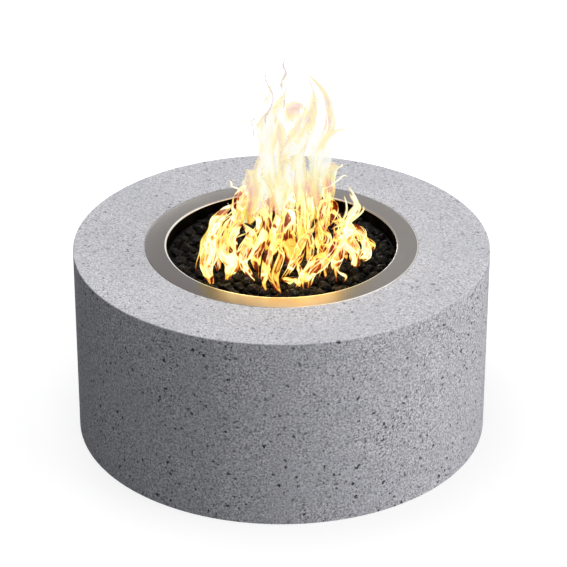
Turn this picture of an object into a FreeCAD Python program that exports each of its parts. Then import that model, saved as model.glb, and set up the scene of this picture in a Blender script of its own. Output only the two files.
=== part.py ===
import FreeCAD, Part
import math
import os
import random

import Sketcher

# Round concrete gas fire pit. Millimetres, +Z up, origin on the ground at the centre of the base.
# The front is -Y. The controls and the gas inlet are at the rear, +Y.

os.makedirs("parts", exist_ok=True)
doc = FreeCAD.newDocument("gas_fire_pit")
Vector = FreeCAD.Vector

# ---------------------------------------------------------------- driving sizes

SIZES = {
    # cast concrete body
    "body_dia": 1067,
    "body_height": 508,
    "wall": 25,
    "slab": 38,
    "rim_width": 45,
    "rim_height": 60,
    "arris": 1.5,
    # bowl pan
    "opening_dia": 590,
    "flange_width": 55.5,
    "sheet": 2,
    "bend": 4,
    "pan_depth": 100,
    "pan_fit": 6,
    "rebate_fit": 1.5,
    "drain_hole": 8,
    # burner
    "ring_margin": 66.5,
    "ring_tube": 19,
    "cross_tube": 15,
    "burner_rise": 38,
    "port": 2.6,
    "hub_dia": 38,
    "stand_width": 26,
    # half inch pipe under the burner
    "pipe_dia": 21.3,
    "pipe_bore": 15.8,
    "pipe_nut_flats": 32,
    "pipe_nut_height": 6,
    "elbow_reach": 28,
    "elbow_drop": 38,
    "mixer_dia": 26,
    "mixer_length": 52,
    # lava rock
    "rock_drop": 36,
    "rock_fit": 1.5,
    # pilot group beside the ring
    "pilot_offset": 33.5,
    "pilot_spread": 14,
    "pilot_place": -30,
    "shield_width": 64,
    "shield_depth": 36,
    "shield_height": 60,
    # control panel
    "control_drop": 158,
    "recess_width": 200,
    "recess_height": 110,
    "recess_corner": 8,
    "recess_depth": 40,
    "plate_fit": 4,
    "hatch_width": 160,
    "hatch_height": 80,
    "knob_place": 40,
    "igniter_place": -45,
    "knob_dia": 38,
    "knob_length": 22,
    "knob_travel": 5,
    "stem_dia": 8,
    "valve_width": 32,
    "valve_height": 36,
    "valve_length": 48,
    "igniter_dia": 22,
    "igniter_length": 64,
    "battery_dia": 14.2,
    "battery_length": 49.5,
    "button_dia": 18.4,
    "button_travel": 3,
    # gas inlet
    "flare_dia": 15.88,
    "flare_length": 14,
    "flare_nut_flats": 19,
    "hose_dia": 14,
    "notch_width": 56,
    "notch_height": 50,
    "inlet_height": 28,
    "bracket_width": 110,
    # vents
    "vent_angle": 35,
    "vent_width": 150,
    "vent_height": 84,
    "vent_low": 90,
    "vent_frame": 12,
    "louvre_pitch": 12,
    "louvre_gap": 6,
    # general
    "screw_dia": 4,
    "seat_gap": 0.3,
}

sheet = doc.addObject("Spreadsheet::Sheet", "sizes")
for row, (alias, number) in enumerate(SIZES.items(), start=1):
    sheet.set(f"A{row}", str(number))
    sheet.setAlias(f"A{row}", alias)
doc.recompute()


class Size:
    """A length that carries its number and the sheet formula that it comes from."""

    def __init__(self, number, formula=None):
        self.number = float(number)
        self.formula = formula or f"{float(number):.6g}"

    def __add__(self, other):
        other = size(other)
        return Size(self.number + other.number, f"({self.formula} + {other.formula})")

    def __sub__(self, other):
        other = size(other)
        return Size(self.number - other.number, f"({self.formula} - {other.formula})")

    def __mul__(self, other):
        other = size(other)
        return Size(self.number * other.number, f"({self.formula} * {other.formula})")

    def __truediv__(self, other):
        other = size(other)
        return Size(self.number / other.number, f"({self.formula} / {other.formula})")

    def __neg__(self):
        return Size(-self.number, f"(-1 * {self.formula})")

    __radd__ = __add__

    def __rmul__(self, other):
        return size(other) * self

    def __rsub__(self, other):
        return size(other) - self


def size(value):
    """Wrap a plain number, and pass a Size through."""
    return value if isinstance(value, Size) else Size(value)


def root(value):
    """Square root of a Size."""
    return Size(math.sqrt(value.number), f"sqrt({value.formula})")


def driving(alias):
    """The named driving size, read from the sheet."""
    return Size(sheet.get(alias), f"sizes.{alias}")


# ---------------------------------------------------------------- derived places

body_r = driving("body_dia") / 2
body_h = driving("body_height")
wall = driving("wall")
inner_r = body_r - wall
rim_r = body_r - driving("rim_width")
slab_under = body_h - driving("slab")

pan_sheet = driving("sheet")
opening_r = driving("opening_dia") / 2
flange_r = opening_r + driving("flange_width")
floor_top = body_h - driving("pan_depth")
floor_under = floor_top - pan_sheet

burner_z = floor_top + driving("burner_rise")
outer_ring_r = opening_r - driving("ring_margin")
inner_ring_r = outer_ring_r / 2
drain_r = (outer_ring_r + inner_ring_r) / 2
ring_tube_r = driving("ring_tube") / 2
ring_crown = ring_tube_r / 2
ring_lift = ring_tube_r * 0.9
hub_drop = 16
hub_rise = 9
hub_under = burner_z - hub_drop
hub_top = burner_z + hub_rise
thread_length = 12

pipe_r = driving("pipe_dia") / 2
thread_gap = 0.06
rock_top = body_h - driving("rock_drop")
rock_fit = driving("rock_fit")

elbow_z = floor_under - driving("elbow_drop")
elbow_reach = driving("elbow_reach")
elbow_wall = 4.4
elbow_r = pipe_r + elbow_wall
mixer_hex = 8
mixer_end = elbow_reach + mixer_hex + driving("mixer_length")

control_z = body_h - driving("control_drop")
panel_y = body_r - driving("recess_depth")
recess_y = panel_y - pan_sheet
knob_x = driving("knob_place")
igniter_x = driving("igniter_place")
igniter_r = driving("igniter_dia") / 2
button_r = driving("button_dia") / 2
stem_r = driving("stem_dia") / 2
knob_r = driving("knob_dia") / 2
knob_clearance = 3
knob_back = panel_y + driving("knob_travel") + knob_clearance
knob_cap = 4
screw_r = driving("screw_dia") / 2
plate_half_w = driving("recess_width") / 2 - driving("plate_fit")
plate_half_h = driving("recess_height") / 2 - driving("plate_fit")
plate_screw_inset = 8
plate_screw_x = plate_half_w - plate_screw_inset
plate_screw_z = plate_half_h - plate_screw_inset

valve_neck = 5.5
valve_front = recess_y - valve_neck
valve_back = valve_front - driving("valve_length")
igniter_flange = 3
igniter_back = panel_y + igniter_flange - driving("igniter_length")
valve_half_w = driving("valve_width") / 2
valve_half_h = driving("valve_height") / 2
port_inset = 12
valve_inlet_y = valve_back + port_inset
port_step = 4
valve_lug = 24
stem_gap = 0.3
plug_r = 9
plug_gap = 0.4
plug_length = 22
socket_floor = 7
collar_r = 6.4
back_wall = 12.6
chamber_back = valve_back + back_wall
spring_seat = 2
spring_back = chamber_back + plug_length + spring_seat
collar_front = valve_front - 0.5
sensor_inset = 16
sensor_y = valve_back + sensor_inset
sensor_boss = 12
valve_inlet_z = control_z - valve_half_h - port_step

flare_r = driving("flare_dia") / 2
flare_length = driving("flare_length")
orifice_hex = 9
orifice_root = mixer_end + orifice_hex
nose_flats = 7.8
hose_r = driving("hose_dia") / 2
inlet_z = driving("inlet_height")
bracket_half = driving("bracket_width") / 2
bracket_sheet = 2.5
bracket_y = root(rim_r * rim_r - bracket_half * bracket_half) - driving("seat_gap")
bracket_back = bracket_y - bracket_sheet
bracket_screw_x = bracket_half - 11
bracket_screw_z = 14
bracket_low = inlet_z - 21
bracket_high = inlet_z + 27
elbow_collar = 7
elbow_core_r = flare_r + 2.5
bore_flats = 8
inlet_nut = 5

vent_z = driving("vent_low") + driving("vent_height") / 2
vent_half_h = driving("vent_height") / 2
vent_half_w = driving("vent_width") / 2
vent_frame = driving("vent_frame")
vent_fit = 1
vent_cheek = root(body_r * body_r - (vent_half_w + vent_fit) * (vent_half_w + vent_fit))
grille_back = vent_cheek - pan_sheet - 0.5
vent_screw_x = vent_half_w - vent_frame / 2
vent_screw_z = vent_half_h - vent_frame / 2

pilot_r = outer_ring_r + driving("pilot_offset")
pilot_mid = driving("pilot_place")
spark_x = pilot_mid - driving("pilot_spread")
probe_x = pilot_mid + driving("pilot_spread")
pilot_screw_reach = driving("pilot_spread") * 1.75
shield_half_w = driving("shield_width") / 2
shield_half_d = driving("shield_depth") / 2
shield_sheet = 1.2
bracket_top = floor_top + 1.5

# ---------------------------------------------------------------- modelling helpers

FULL_TURN = 360
RING_LENGTHS = 24
PIPE_SIDES = 12
PARTS = {}


def bind(item, prop, value):
    """Tie a property to the sheet when its value comes from there."""
    value = size(value)
    item.setExpression(prop, value.formula)


def new_body(label):
    """A PartDesign body with its own label."""
    body = doc.addObject("PartDesign::Body", label)
    body.Label = label
    return body


def plane(body, role):
    """The body's own origin plane with this role."""
    return next(item for item in body.Origin.OriginFeatures if item.Role == role)


def new_sketch(body, role, lift=0, turn=0):
    """A sketch on an origin plane, lifted along its normal and turned about the vertical."""
    sketch = body.newObject("Sketcher::SketchObject", "Sketch")
    sketch.AttachmentSupport = (plane(body, role), [""])
    sketch.MapMode = "FlatFace"
    lift = size(lift)
    turn = size(turn)
    if turn.number:
        spin = FreeCAD.Rotation(Vector(0, 1, 0), turn.number)
        sketch.AttachmentOffset = FreeCAD.Placement(spin.multVec(Vector(0, 0, lift.number)), spin)
        bind(sketch, "AttachmentOffset.Rotation.Angle", turn)
        bind(sketch, "AttachmentOffset.Base.x", lift * Size(math.sin(math.radians(turn.number)),
                                                            f"sin({turn.formula})"))
        bind(sketch, "AttachmentOffset.Base.z", lift * Size(math.cos(math.radians(turn.number)),
                                                            f"cos({turn.formula})"))
    else:
        sketch.AttachmentOffset = FreeCAD.Placement(Vector(0, 0, lift.number), FreeCAD.Rotation())
        bind(sketch, "AttachmentOffset.Base.z", lift)
    return sketch


def upright(body, y=0):
    """A sketch that faces the front, at this y: its x is X and its y is Z."""
    return new_sketch(body, "XZ_Plane", -size(y))


def level(body, z=0):
    """A flat sketch at this height."""
    return new_sketch(body, "XY_Plane", z)


def constrain(sketch, kind, *where, value):
    """Add a dimension and tie it to the sheet."""
    value = size(value)
    index = sketch.addConstraint(Sketcher.Constraint(kind, *where, value.number))
    bind(sketch, f"Constraints[{index}]", value)


def outline(sketch, corners):
    """A closed outline. A corner is (x, y) or (x, y, radius), with Sizes or numbers."""
    points = [Vector(size(c[0]).number, size(c[1]).number, 0) for c in corners]
    radii = [size(c[2]) if len(c) > 2 else None for c in corners]
    count = len(corners)
    starts, ends = [], []
    for index, point in enumerate(points):
        before = (points[index - 1] - point).normalize()
        after = (points[(index + 1) % count] - point).normalize()
        if radii[index] is None:
            ends.append(point)
            starts.append(point)
            continue
        half_angle = before.getAngle(after) / 2
        setback = radii[index].number / math.tan(half_angle)
        ends.append(point + before * setback)
        starts.append(point + after * setback)
    lines = []
    for index in range(count):
        edge = Part.LineSegment(starts[index], ends[(index + 1) % count])
        lines.append(sketch.addGeometry(edge, False))
    for index, point in enumerate(points):
        line_in, line_out = lines[index - 1], lines[index]
        if radii[index] is None:
            sketch.addConstraint(Sketcher.Constraint("Coincident", line_in, 2, line_out, 1))
            constrain(sketch, "DistanceX", -1, 1, line_out, 1, value=corners[index][0])
            constrain(sketch, "DistanceY", -1, 1, line_out, 1, value=corners[index][1])
            continue
        round_corner(sketch, point, ends[index], starts[index], line_in, line_out, radii[index])
        mark = sketch.addGeometry(Part.Point(point), True)
        sketch.addConstraint(Sketcher.Constraint("PointOnObject", mark, 1, line_in))
        sketch.addConstraint(Sketcher.Constraint("PointOnObject", mark, 1, line_out))
        constrain(sketch, "DistanceX", -1, 1, mark, 1, value=corners[index][0])
        constrain(sketch, "DistanceY", -1, 1, mark, 1, value=corners[index][1])


def round_corner(sketch, corner, start, end, line_in, line_out, radius):
    """An arc tangent to two lines at a corner."""
    inward = ((start - corner) + (end - corner)).normalize()
    half_angle = (start - corner).getAngle(end - corner) / 2
    centre = corner + inward * (radius.number / math.sin(half_angle))
    middle = centre - inward * radius.number
    arc = sketch.addGeometry(Part.Arc(start, middle, end), False)
    ends = sketch.Geometry[arc]
    first = 1 if (ends.StartPoint - start).Length < (ends.EndPoint - start).Length else 2
    sketch.addConstraint(Sketcher.Constraint("Tangent", line_in, 2, arc, first))
    sketch.addConstraint(Sketcher.Constraint("Tangent", arc, 3 - first, line_out, 1))
    constrain(sketch, "Radius", arc, value=radius)


def rectangle(sketch, x_low, x_high, y_low, y_high, *radius):
    """A rectangle, with rounded corners when a radius is given."""
    outline(sketch, [
        (x_low, y_low, *radius),
        (x_high, y_low, *radius),
        (x_high, y_high, *radius),
        (x_low, y_high, *radius),
    ])


def circle(sketch, x, y, radius):
    """A full circle."""
    centre = Vector(size(x).number, size(y).number, 0)
    index = sketch.addGeometry(Part.Circle(centre, Vector(0, 0, 1), size(radius).number), False)
    constrain(sketch, "DistanceX", -1, 1, index, 3, value=x)
    constrain(sketch, "DistanceY", -1, 1, index, 3, value=y)
    constrain(sketch, "Radius", index, value=radius)


def polygon(sketch, sides, flats, x=0, y=0):
    """A regular polygon about a point, measured across its flats, with a flat at the top."""
    half_side = math.pi / sides
    reach = size(flats) / (2 * math.cos(half_side))
    outline(sketch, [
        (x + reach * math.sin((2 * side + 1) * half_side),
         y + reach * math.cos((2 * side + 1) * half_side))
        for side in range(sides)
    ])


def hexagon(sketch, flats, x=0, y=0):
    """A hexagon, measured across its flats."""
    polygon(sketch, 6, flats, x, y)


def screw_hole(sketch, x, y, slack=0.3):
    """A small six-sided clearance hole, which matches the screws' six-sided shanks."""
    hexagon(sketch, screw_r * 2 + slack, x, y)


def feature(body, kind, sketch, **settings):
    """Add a sketched feature. Sizes among the settings are tied to the sheet."""
    item = body.newObject(f"PartDesign::{kind}", kind)
    item.Profile = sketch
    for name, value in settings.items():
        if isinstance(value, Size):
            setattr(item, name, value.number)
            bind(item, name, value)
        else:
            setattr(item, name, value)
    doc.recompute()
    return item


def spin(body, sketch):
    """Revolve a sketch about its own vertical axis."""
    return feature(body, "Revolution", sketch, ReferenceAxis=(sketch, ["V_Axis"]), Angle=FULL_TURN)


def pad(body, sketch, length, back=False):
    """Pad along the sketch normal, or against it."""
    return feature(body, "Pad", sketch, Length=size(length), Reversed=back)


def cut(body, sketch, length, along=False):
    """Pocket against the sketch normal, or along it. It must take material away."""
    before = body.Shape.Volume
    item = feature(body, "Pocket", sketch, Length=size(length), Reversed=along)
    if body.Shape.Volume > before - 0.01:
        raise ValueError(f"{body.Label}: a pocket cut nothing")
    return item


def repeat(body, originals, kind, **settings):
    """Pattern or mirror earlier features, and make the result the body's tip."""
    item = body.newObject(f"PartDesign::{kind}", kind)
    item.Originals = originals
    for name, value in settings.items():
        if isinstance(value, Size):
            setattr(item, name, value.number)
            bind(item, name, value)
        else:
            setattr(item, name, value)
    body.Tip = item
    doc.recompute()
    return item


def around(body, originals, count):
    """Repeat features about the body's own Z axis."""
    z_axis = (plane(body, "Z_Axis"), [""])
    return repeat(body, originals, "PolarPattern", Axis=z_axis, Occurrences=count, Angle=FULL_TURN)


TOWARD_REAR = FreeCAD.Rotation(Vector(1, 0, 0), -90)
TOWARD_FRONT = FreeCAD.Rotation(Vector(1, 0, 0), 90)
TOWARD_LEFT = FreeCAD.Rotation(Vector(0, 1, 0), -90)
ALONG_X = FreeCAD.Rotation(Vector(0, 1, 0), Vector(0, 0, 1), Vector(1, 0, 0), "ZXY")
DOWNWARD = FreeCAD.Rotation(Vector(1, 0, 0), 180)
UPWARD = FreeCAD.Rotation()


def place(item, x, y, z, facing=UPWARD):
    """Put a sub-part at its place, with its own Z turned to the facing direction."""
    x, y, z = size(x), size(y), size(z)
    item.Placement = FreeCAD.Placement(Vector(x.number, y.number, z.number), facing)
    bind(item, "Placement.Base.x", x)
    bind(item, "Placement.Base.y", y)
    bind(item, "Placement.Base.z", z)


def spot(x, y, z, facing=UPWARD):
    """A plain placement for one copy in a group."""
    numbers = [size(value).number for value in (x, y, z)]
    return FreeCAD.Placement(Vector(*numbers), facing)


def keep(item):
    """List a sub-part for export under its label."""
    PARTS[item.Label] = item
    return item


def prism(body, sides, flats, low, high):
    """Add a many-sided step between two heights."""
    sketch = level(body, low)
    polygon(sketch, sides, flats)
    return pad(body, sketch, size(high) - low)


def drill(body, sides, flats, low, depth):
    """Cut a many-sided hole upward from a height."""
    sketch = level(body, low)
    polygon(sketch, sides, flats)
    return cut(body, sketch, depth, along=True)


def group(label, shapes):
    """Several separate solids that share one node."""
    item = doc.addObject("Part::Feature", label)
    item.Label = label
    item.Shape = Part.Compound(shapes)
    return keep(item)


def copies(shape, places):
    """Copies of one solid, each at its own placement."""
    moved = []
    for where in places:
        copy = shape.copy()
        copy.Placement = where
        moved.append(copy)
    return moved


def routed_path(points):
    """Straight runs joined by tangent arcs, as one wire, with its arc radii."""
    corners = [Vector(*[size(value).number for value in point]) for point in points]
    edges, radii = [], []
    start = corners[0]
    for before, corner, after in zip(corners, corners[1:], corners[2:]):
        back = (before - corner).normalize()
        ahead = (after - corner).normalize()
        half_turn = (math.pi - back.getAngle(ahead)) / 2
        setback = 0.45 * min((before - corner).Length, (after - corner).Length)
        radius = setback / math.tan(half_turn)
        inward = (back + ahead).normalize()
        centre = corner + inward * (radius / math.cos(half_turn))
        arc_start = corner + back * setback
        arc_end = corner + ahead * setback
        edges.append(Part.LineSegment(start, arc_start).toShape())
        edges.append(Part.Arc(arc_start, centre - inward * radius, arc_end).toShape())
        radii.append(round(radius))
        start = arc_end
    edges.append(Part.LineSegment(start, corners[-1]).toShape())
    return Part.Wire(edges), radii


def ring_of_points(centre, normal, radius, sides):
    """A closed regular polygon square to a direction."""
    across = normal.cross(Vector(0, 0, 1) if abs(normal.z) < 0.9 else Vector(1, 0, 0)).normalize()
    upward = normal.cross(across)
    points = []
    for side in range(sides):
        angle = 2 * math.pi * side / sides
        points.append(centre + (across * math.cos(angle) + upward * math.sin(angle)) * radius)
    return Part.makePolygon(points + points[:1])


def tube(label, points, radius, sides):
    """A many-sided line swept along a routed path, checked against section times length."""
    radius = size(radius).number
    path, radii = routed_path(points)
    start = path.Edges[0]
    direction = start.tangentAt(start.FirstParameter)
    section = ring_of_points(start.valueAt(start.FirstParameter), direction, radius, sides)
    item = doc.addObject("Part::Feature", label)
    item.Label = label
    item.Shape = path.makePipeShell([section], True, False)
    area = Part.Face(section).Area
    ratio = item.Shape.Volume / (area * path.Length)
    print(f"{label}: length {path.Length:.0f}, arc radii {radii}, volume ratio {ratio:.4f}")
    if abs(ratio - 1) > 0.01:
        raise ValueError(f"{label}: the sweep has the wrong volume")
    return keep(item)


def coil(label, radius, wire, low, high, turns, where):
    """A compression spring between two heights, in ten straight chords to a turn."""
    radius, wire, low, high = (size(value).number for value in (radius, wire, low, high))
    chords = 10 * turns
    rise = (high - low - wire) / chords
    points = []
    for index in range(chords + 1):
        angle = 2 * math.pi * index / 10
        lift = low + wire / 2 + rise * index
        points.append(Vector(radius * math.cos(angle), radius * math.sin(angle), lift))
    direction = (points[1] - points[0]).normalize()
    section = ring_of_points(points[0], direction, wire / math.sqrt(2), 4)
    item = doc.addObject("Part::Feature", label)
    item.Label = label
    item.Shape = Part.Wire(Part.makePolygon(points)).makePipeShell([section], True, False, 1)
    item.Placement = where
    return keep(item)


# ---------------------------------------------------------------- cast concrete body

def make_shell():
    """The cast body: wall, top slab, base rim, control recess, hose notch and vents."""
    body = new_body("concrete_shell")
    arris = driving("arris")
    rebate_r = flange_r + driving("rebate_fit")
    hole_r = opening_r + pan_sheet + driving("pan_fit")
    profile = upright(body)
    outline(profile, [
        (hole_r, slab_under),
        (inner_r, slab_under),
        (inner_r, driving("rim_height")),
        (rim_r, driving("rim_height")),
        (rim_r, 0),
        (body_r, 0),
        (body_r, body_h - arris),
        (body_r - arris, body_h),
        (rebate_r, body_h),
        (rebate_r, body_h - pan_sheet),
        (hole_r, body_h - pan_sheet),
    ])
    spin(body, profile)
    shell_control_recess(body)
    shell_hose_notch(body)
    shell_vents(body)
    return keep(body)


def shell_control_recess(body):
    """A thick boss inside the rear wall, with a flat recess and a hatch through it."""
    half_w = driving("recess_width") / 2
    half_h = driving("recess_height") / 2
    corner = driving("recess_corner")
    boss_half = half_w + wall
    boss = upright(body, recess_y - wall)
    rectangle(boss, -boss_half, boss_half, control_z - half_h - wall, control_z + half_h + wall,
              corner)
    boss_end = root(body_r * body_r - boss_half * boss_half) - wall / 3
    pad(body, boss, boss_end - recess_y + wall, back=True)
    recess = upright(body, recess_y)
    rectangle(recess, -half_w, half_w, control_z - half_h, control_z + half_h, corner)
    cut(body, recess, driving("recess_depth") + 20)
    hatch = upright(body, recess_y)
    hatch_w = driving("hatch_width") / 2
    hatch_h = driving("hatch_height") / 2
    rectangle(hatch, -hatch_w, hatch_w, control_z - hatch_h, control_z + hatch_h, corner / 2)
    cut(body, hatch, wall + 10, along=True)
    holes = upright(body, recess_y)
    for x in (-plate_screw_x, plate_screw_x):
        for z in (control_z - plate_screw_z, control_z + plate_screw_z):
            screw_hole(holes, x, z)
    cut(body, holes, 16, along=True)


def shell_hose_notch(body):
    """An arched notch through the base rim for the gas hose, and its bracket's screw holes."""
    half = driving("notch_width") / 2
    height = driving("notch_height")
    notch = upright(body, rim_r - 10)
    outline(notch, [
        (-half, -1),
        (half, -1),
        (half, height, half - 1),
        (-half, height, half - 1),
    ])
    cut(body, notch, driving("rim_width") + 20)
    holes = upright(body, rim_r - 10)
    for x in (-bracket_screw_x, bracket_screw_x):
        for z in (inlet_z - bracket_screw_z, inlet_z + bracket_screw_z):
            screw_hole(holes, x, z)
    cut(body, holes, 30)


def shell_vents(body):
    """Two low vents behind the side centres: a flat seat for each grille and a hole through."""
    angle = driving("vent_angle")
    seat = new_sketch(body, "YZ_Plane", grille_back, angle)
    rectangle(seat, -vent_half_w - vent_fit, vent_half_w + vent_fit,
              vent_z - vent_half_h - vent_fit, vent_z + vent_half_h + vent_fit)
    hole = new_sketch(body, "YZ_Plane", grille_back + 1, angle)
    hole_w = vent_half_w - vent_frame
    hole_h = vent_half_h - vent_frame
    rectangle(hole, -hole_w, hole_w, vent_z - hole_h, vent_z + hole_h)
    anchors = new_sketch(body, "YZ_Plane", grille_back, angle)
    for x in (-vent_screw_x, vent_screw_x):
        for z in (vent_z - vent_screw_z, vent_z + vent_screw_z):
            screw_hole(anchors, x, z)
    cuts = [
        cut(body, seat, 40, along=True),
        cut(body, hole, 60),
        cut(body, anchors, 14),
    ]
    repeat(body, cuts, "Mirrored", MirrorPlane=(plane(body, "YZ_Plane"), [""]))


def make_vent_grille(label, turn):
    """A flat stainless plate with a column of louvres pressed inward."""
    body = new_body(label)
    plate = new_sketch(body, "YZ_Plane", grille_back)
    rectangle(plate, -vent_half_w, vent_half_w, vent_z - vent_half_h, vent_z + vent_half_h)
    pad(body, plate, pan_sheet)
    gap = driving("louvre_gap")
    pitch = driving("louvre_pitch")
    first = vent_z - 2 * pitch - gap / 2
    slot_half = vent_half_w - vent_frame - 4
    slot = new_sketch(body, "YZ_Plane", grille_back - 1)
    rectangle(slot, -slot_half, slot_half, first, first + gap)
    slot_cut = cut(body, slot, pan_sheet + 2, along=True)
    face = grille_back + pan_sheet
    slope = gap * 1.3
    blade = new_sketch(body, "XZ_Plane", -slot_half)
    outline(blade, [
        (face - 0.4, first - 2),
        (face - 0.4 - slope, first + slope - 2),
        (face - 0.4 - slope, first + slope - 0.4),
        (face - 0.4, first - 0.2),
    ])
    blade_pad = pad(body, blade, slot_half * 2)
    z_axis = (plane(body, "Z_Axis"), [""])
    count = 5
    repeat(body, [slot_cut, blade_pad], "LinearPattern", Direction=z_axis,
           Length=pitch * (count - 1), Occurrences=count)
    holes = new_sketch(body, "YZ_Plane", grille_back - 1)
    for x in (-vent_screw_x, vent_screw_x):
        for z in (vent_z - vent_screw_z, vent_z + vent_screw_z):
            screw_hole(holes, x, z)
    cut(body, holes, pan_sheet + 2, along=True)
    body.Placement = FreeCAD.Placement(Vector(), FreeCAD.Rotation(Vector(0, 0, 1), turn))
    return keep(body)


def hex_head_screw(length):
    """A small hexagon-head screw: head above its own zero, shank below."""
    body = new_body("screw_pattern")
    prism(body, 6, screw_r * 2, -size(length), 0.5)
    prism(body, 6, screw_r * 3.5, 0, 2.4)
    return body.Shape


def make_vent_screws():
    """Four screws in each grille."""
    screw = hex_head_screw(12)
    face = (grille_back + pan_sheet).number
    places = []
    for turn in (driving("vent_angle").number, 180 - driving("vent_angle").number):
        about_z = FreeCAD.Rotation(Vector(0, 0, 1), turn)
        for x in (-vent_screw_x, vent_screw_x):
            for z in (vent_z - vent_screw_z, vent_z + vent_screw_z):
                point = about_z.multVec(Vector(face, x.number, z.number))
                places.append(FreeCAD.Placement(point, about_z.multiply(ALONG_X)))
    return group("vent_grille_screws", copies(screw, places))


# ---------------------------------------------------------------- bowl pan and burner

def make_pan():
    """The stainless pan: a flange flush with the concrete, a straight wall and a welded floor."""
    body = new_body("burner_pan")
    bend = driving("bend")
    outer = opening_r + pan_sheet
    neat = pan_sheet * math.tan(math.radians(22.5))
    profile = upright(body)
    outline(profile, [
        (flange_r, body_h),
        (opening_r + bend, body_h),
        (opening_r, body_h - bend),
        (opening_r, floor_top),
        (0, floor_top),
        (0, floor_under),
        (outer, floor_under),
        (outer, body_h - bend - neat),
        (opening_r + bend + neat, body_h - pan_sheet),
        (flange_r, body_h - pan_sheet),
    ])
    spin(body, profile)
    drains = level(body, floor_under)
    hexagon(drains, driving("drain_hole"), drain_r, 0)
    around(body, [cut(body, drains, 10, along=True)], 4)
    holes = level(body, floor_under)
    polygon(holes, 12, pipe_r * 2 + 1.6)
    for x in (spark_x, probe_x):
        polygon(holes, 12, 9, x, pilot_r)
    for reach in (-pilot_screw_reach, pilot_screw_reach):
        screw_hole(holes, pilot_mid + reach, pilot_r)
    cut(body, holes, 10, along=True)
    return keep(body)


def ring_tube(body, radius):
    """A six-sided tube that runs round a ring in straight mitred lengths."""
    half_turn = FULL_TURN / RING_LENGTHS / 2
    reach = radius / math.cos(math.radians(half_turn))
    ends = []
    for turn in (-half_turn, half_turn):
        end = new_sketch(body, "XZ_Plane", 0, turn)
        outline(end, [
            (reach + ring_tube_r, burner_z),
            (reach + ring_crown, burner_z + ring_lift),
            (reach - ring_crown, burner_z + ring_lift),
            (reach - ring_tube_r, burner_z),
            (reach - ring_crown, burner_z - ring_lift),
            (reach + ring_crown, burner_z - ring_lift),
        ])
        ends.append(end)
    length = feature(body, "AdditiveLoft", ends[0], Sections=ends[1:], Ruled=True)
    around(body, [length], RING_LENGTHS)


def make_burner():
    """The welded burner: two drilled rings, cross tubes and a threaded hub."""
    body = new_body("ring_burner")
    for radius in (outer_ring_r, inner_ring_r):
        ring_tube(body, radius)
    for role in ("YZ_Plane", "XZ_Plane"):
        cross = new_sketch(body, role, -outer_ring_r)
        polygon(cross, 6, driving("cross_tube"), 0, burner_z)
        pad(body, cross, outer_ring_r * 2)
    prism(body, PIPE_SIDES, driving("hub_dia"), hub_under, hub_top)
    drill(body, PIPE_SIDES, (pipe_r + thread_gap) * 2, hub_under, 14)
    for radius, count in ((outer_ring_r, RING_LENGTHS), (inner_ring_r, RING_LENGTHS // 2)):
        port = level(body, burner_z + ring_lift)
        polygon(port, 4, driving("port"), radius, 0)
        around(body, [cut(body, port, 3)], count)
    return keep(body)


def make_burner_stands():
    """Three bent feet on the pan's floor that cradle the outer ring."""
    body = new_body("burner_stands")
    half = driving("stand_width") / 2
    gap = driving("seat_gap")
    cradle_floor = burner_z - ring_lift - gap
    cradle_w = ring_crown + gap
    middle = outer_ring_r
    side = upright(body)
    outline(side, [
        (middle - half, floor_top),
        (middle + half, floor_top),
        (middle + half, burner_z),
        (middle + ring_tube_r + gap * 1.3, burner_z),
        (middle + cradle_w, cradle_floor),
        (middle - cradle_w, cradle_floor),
        (middle - ring_tube_r - gap * 1.3, burner_z),
        (middle - half, burner_z),
    ])
    upright_pad = pad(body, side, pan_sheet)
    foot = level(body, floor_top)
    rectangle(foot, middle - half, middle + half, -10, -1)
    foot_pad = pad(body, foot, pan_sheet)
    around(body, [upright_pad, foot_pad], 3)
    body.Placement = FreeCAD.Placement(Vector(), FreeCAD.Rotation(Vector(0, 0, 1), 45))
    return keep(body)


def make_supply_pipe():
    """The nipple through the pan's floor, with a nut above and below."""
    low = elbow_z + elbow_reach - thread_length
    high = hub_under + 13.5
    pipe = new_body("supply_nipple")
    prism(pipe, PIPE_SIDES, pipe_r * 2, low, high)
    drill(pipe, PIPE_SIDES, driving("pipe_bore"), low, high - low)
    keep(pipe)
    height = driving("pipe_nut_height")
    for label, z in (("pan_lock_nut", floor_under - height), ("pan_top_nut", floor_top)):
        nut = new_body(label)
        prism(nut, 6, driving("pipe_nut_flats"), 0, height)
        drill(nut, PIPE_SIDES, (pipe_r + thread_gap) * 2, 0, height)
        place(nut, 0, 0, z)
        keep(nut)


# ---------------------------------------------------------------- gas train under the pan

def make_elbow():
    """A malleable-iron elbow with a band round each socket."""
    body = new_body("burner_elbow")
    band = 7
    top = elbow_z + elbow_reach
    prism(body, PIPE_SIDES, elbow_r * 2, elbow_z - elbow_r, top)
    prism(body, PIPE_SIDES, elbow_r * 2 + 4, top - band, top)
    arm = upright(body)
    polygon(arm, PIPE_SIDES, elbow_r * 2, 0, elbow_z)
    pad(body, arm, elbow_reach, back=True)
    arm_band = upright(body, elbow_reach)
    polygon(arm_band, PIPE_SIDES, elbow_r * 2 + 4, 0, elbow_z)
    pad(body, arm_band, band)
    for depth, flats in ((elbow_reach, driving("pipe_bore")), (thread_length, (pipe_r + thread_gap) * 2)):
        down = level(body, top)
        polygon(down, PIPE_SIDES, flats)
        cut(body, down, depth)
        back = upright(body, elbow_reach)
        polygon(back, PIPE_SIDES, flats, 0, elbow_z)
        cut(body, back, depth, along=True)
    return keep(body)


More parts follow.
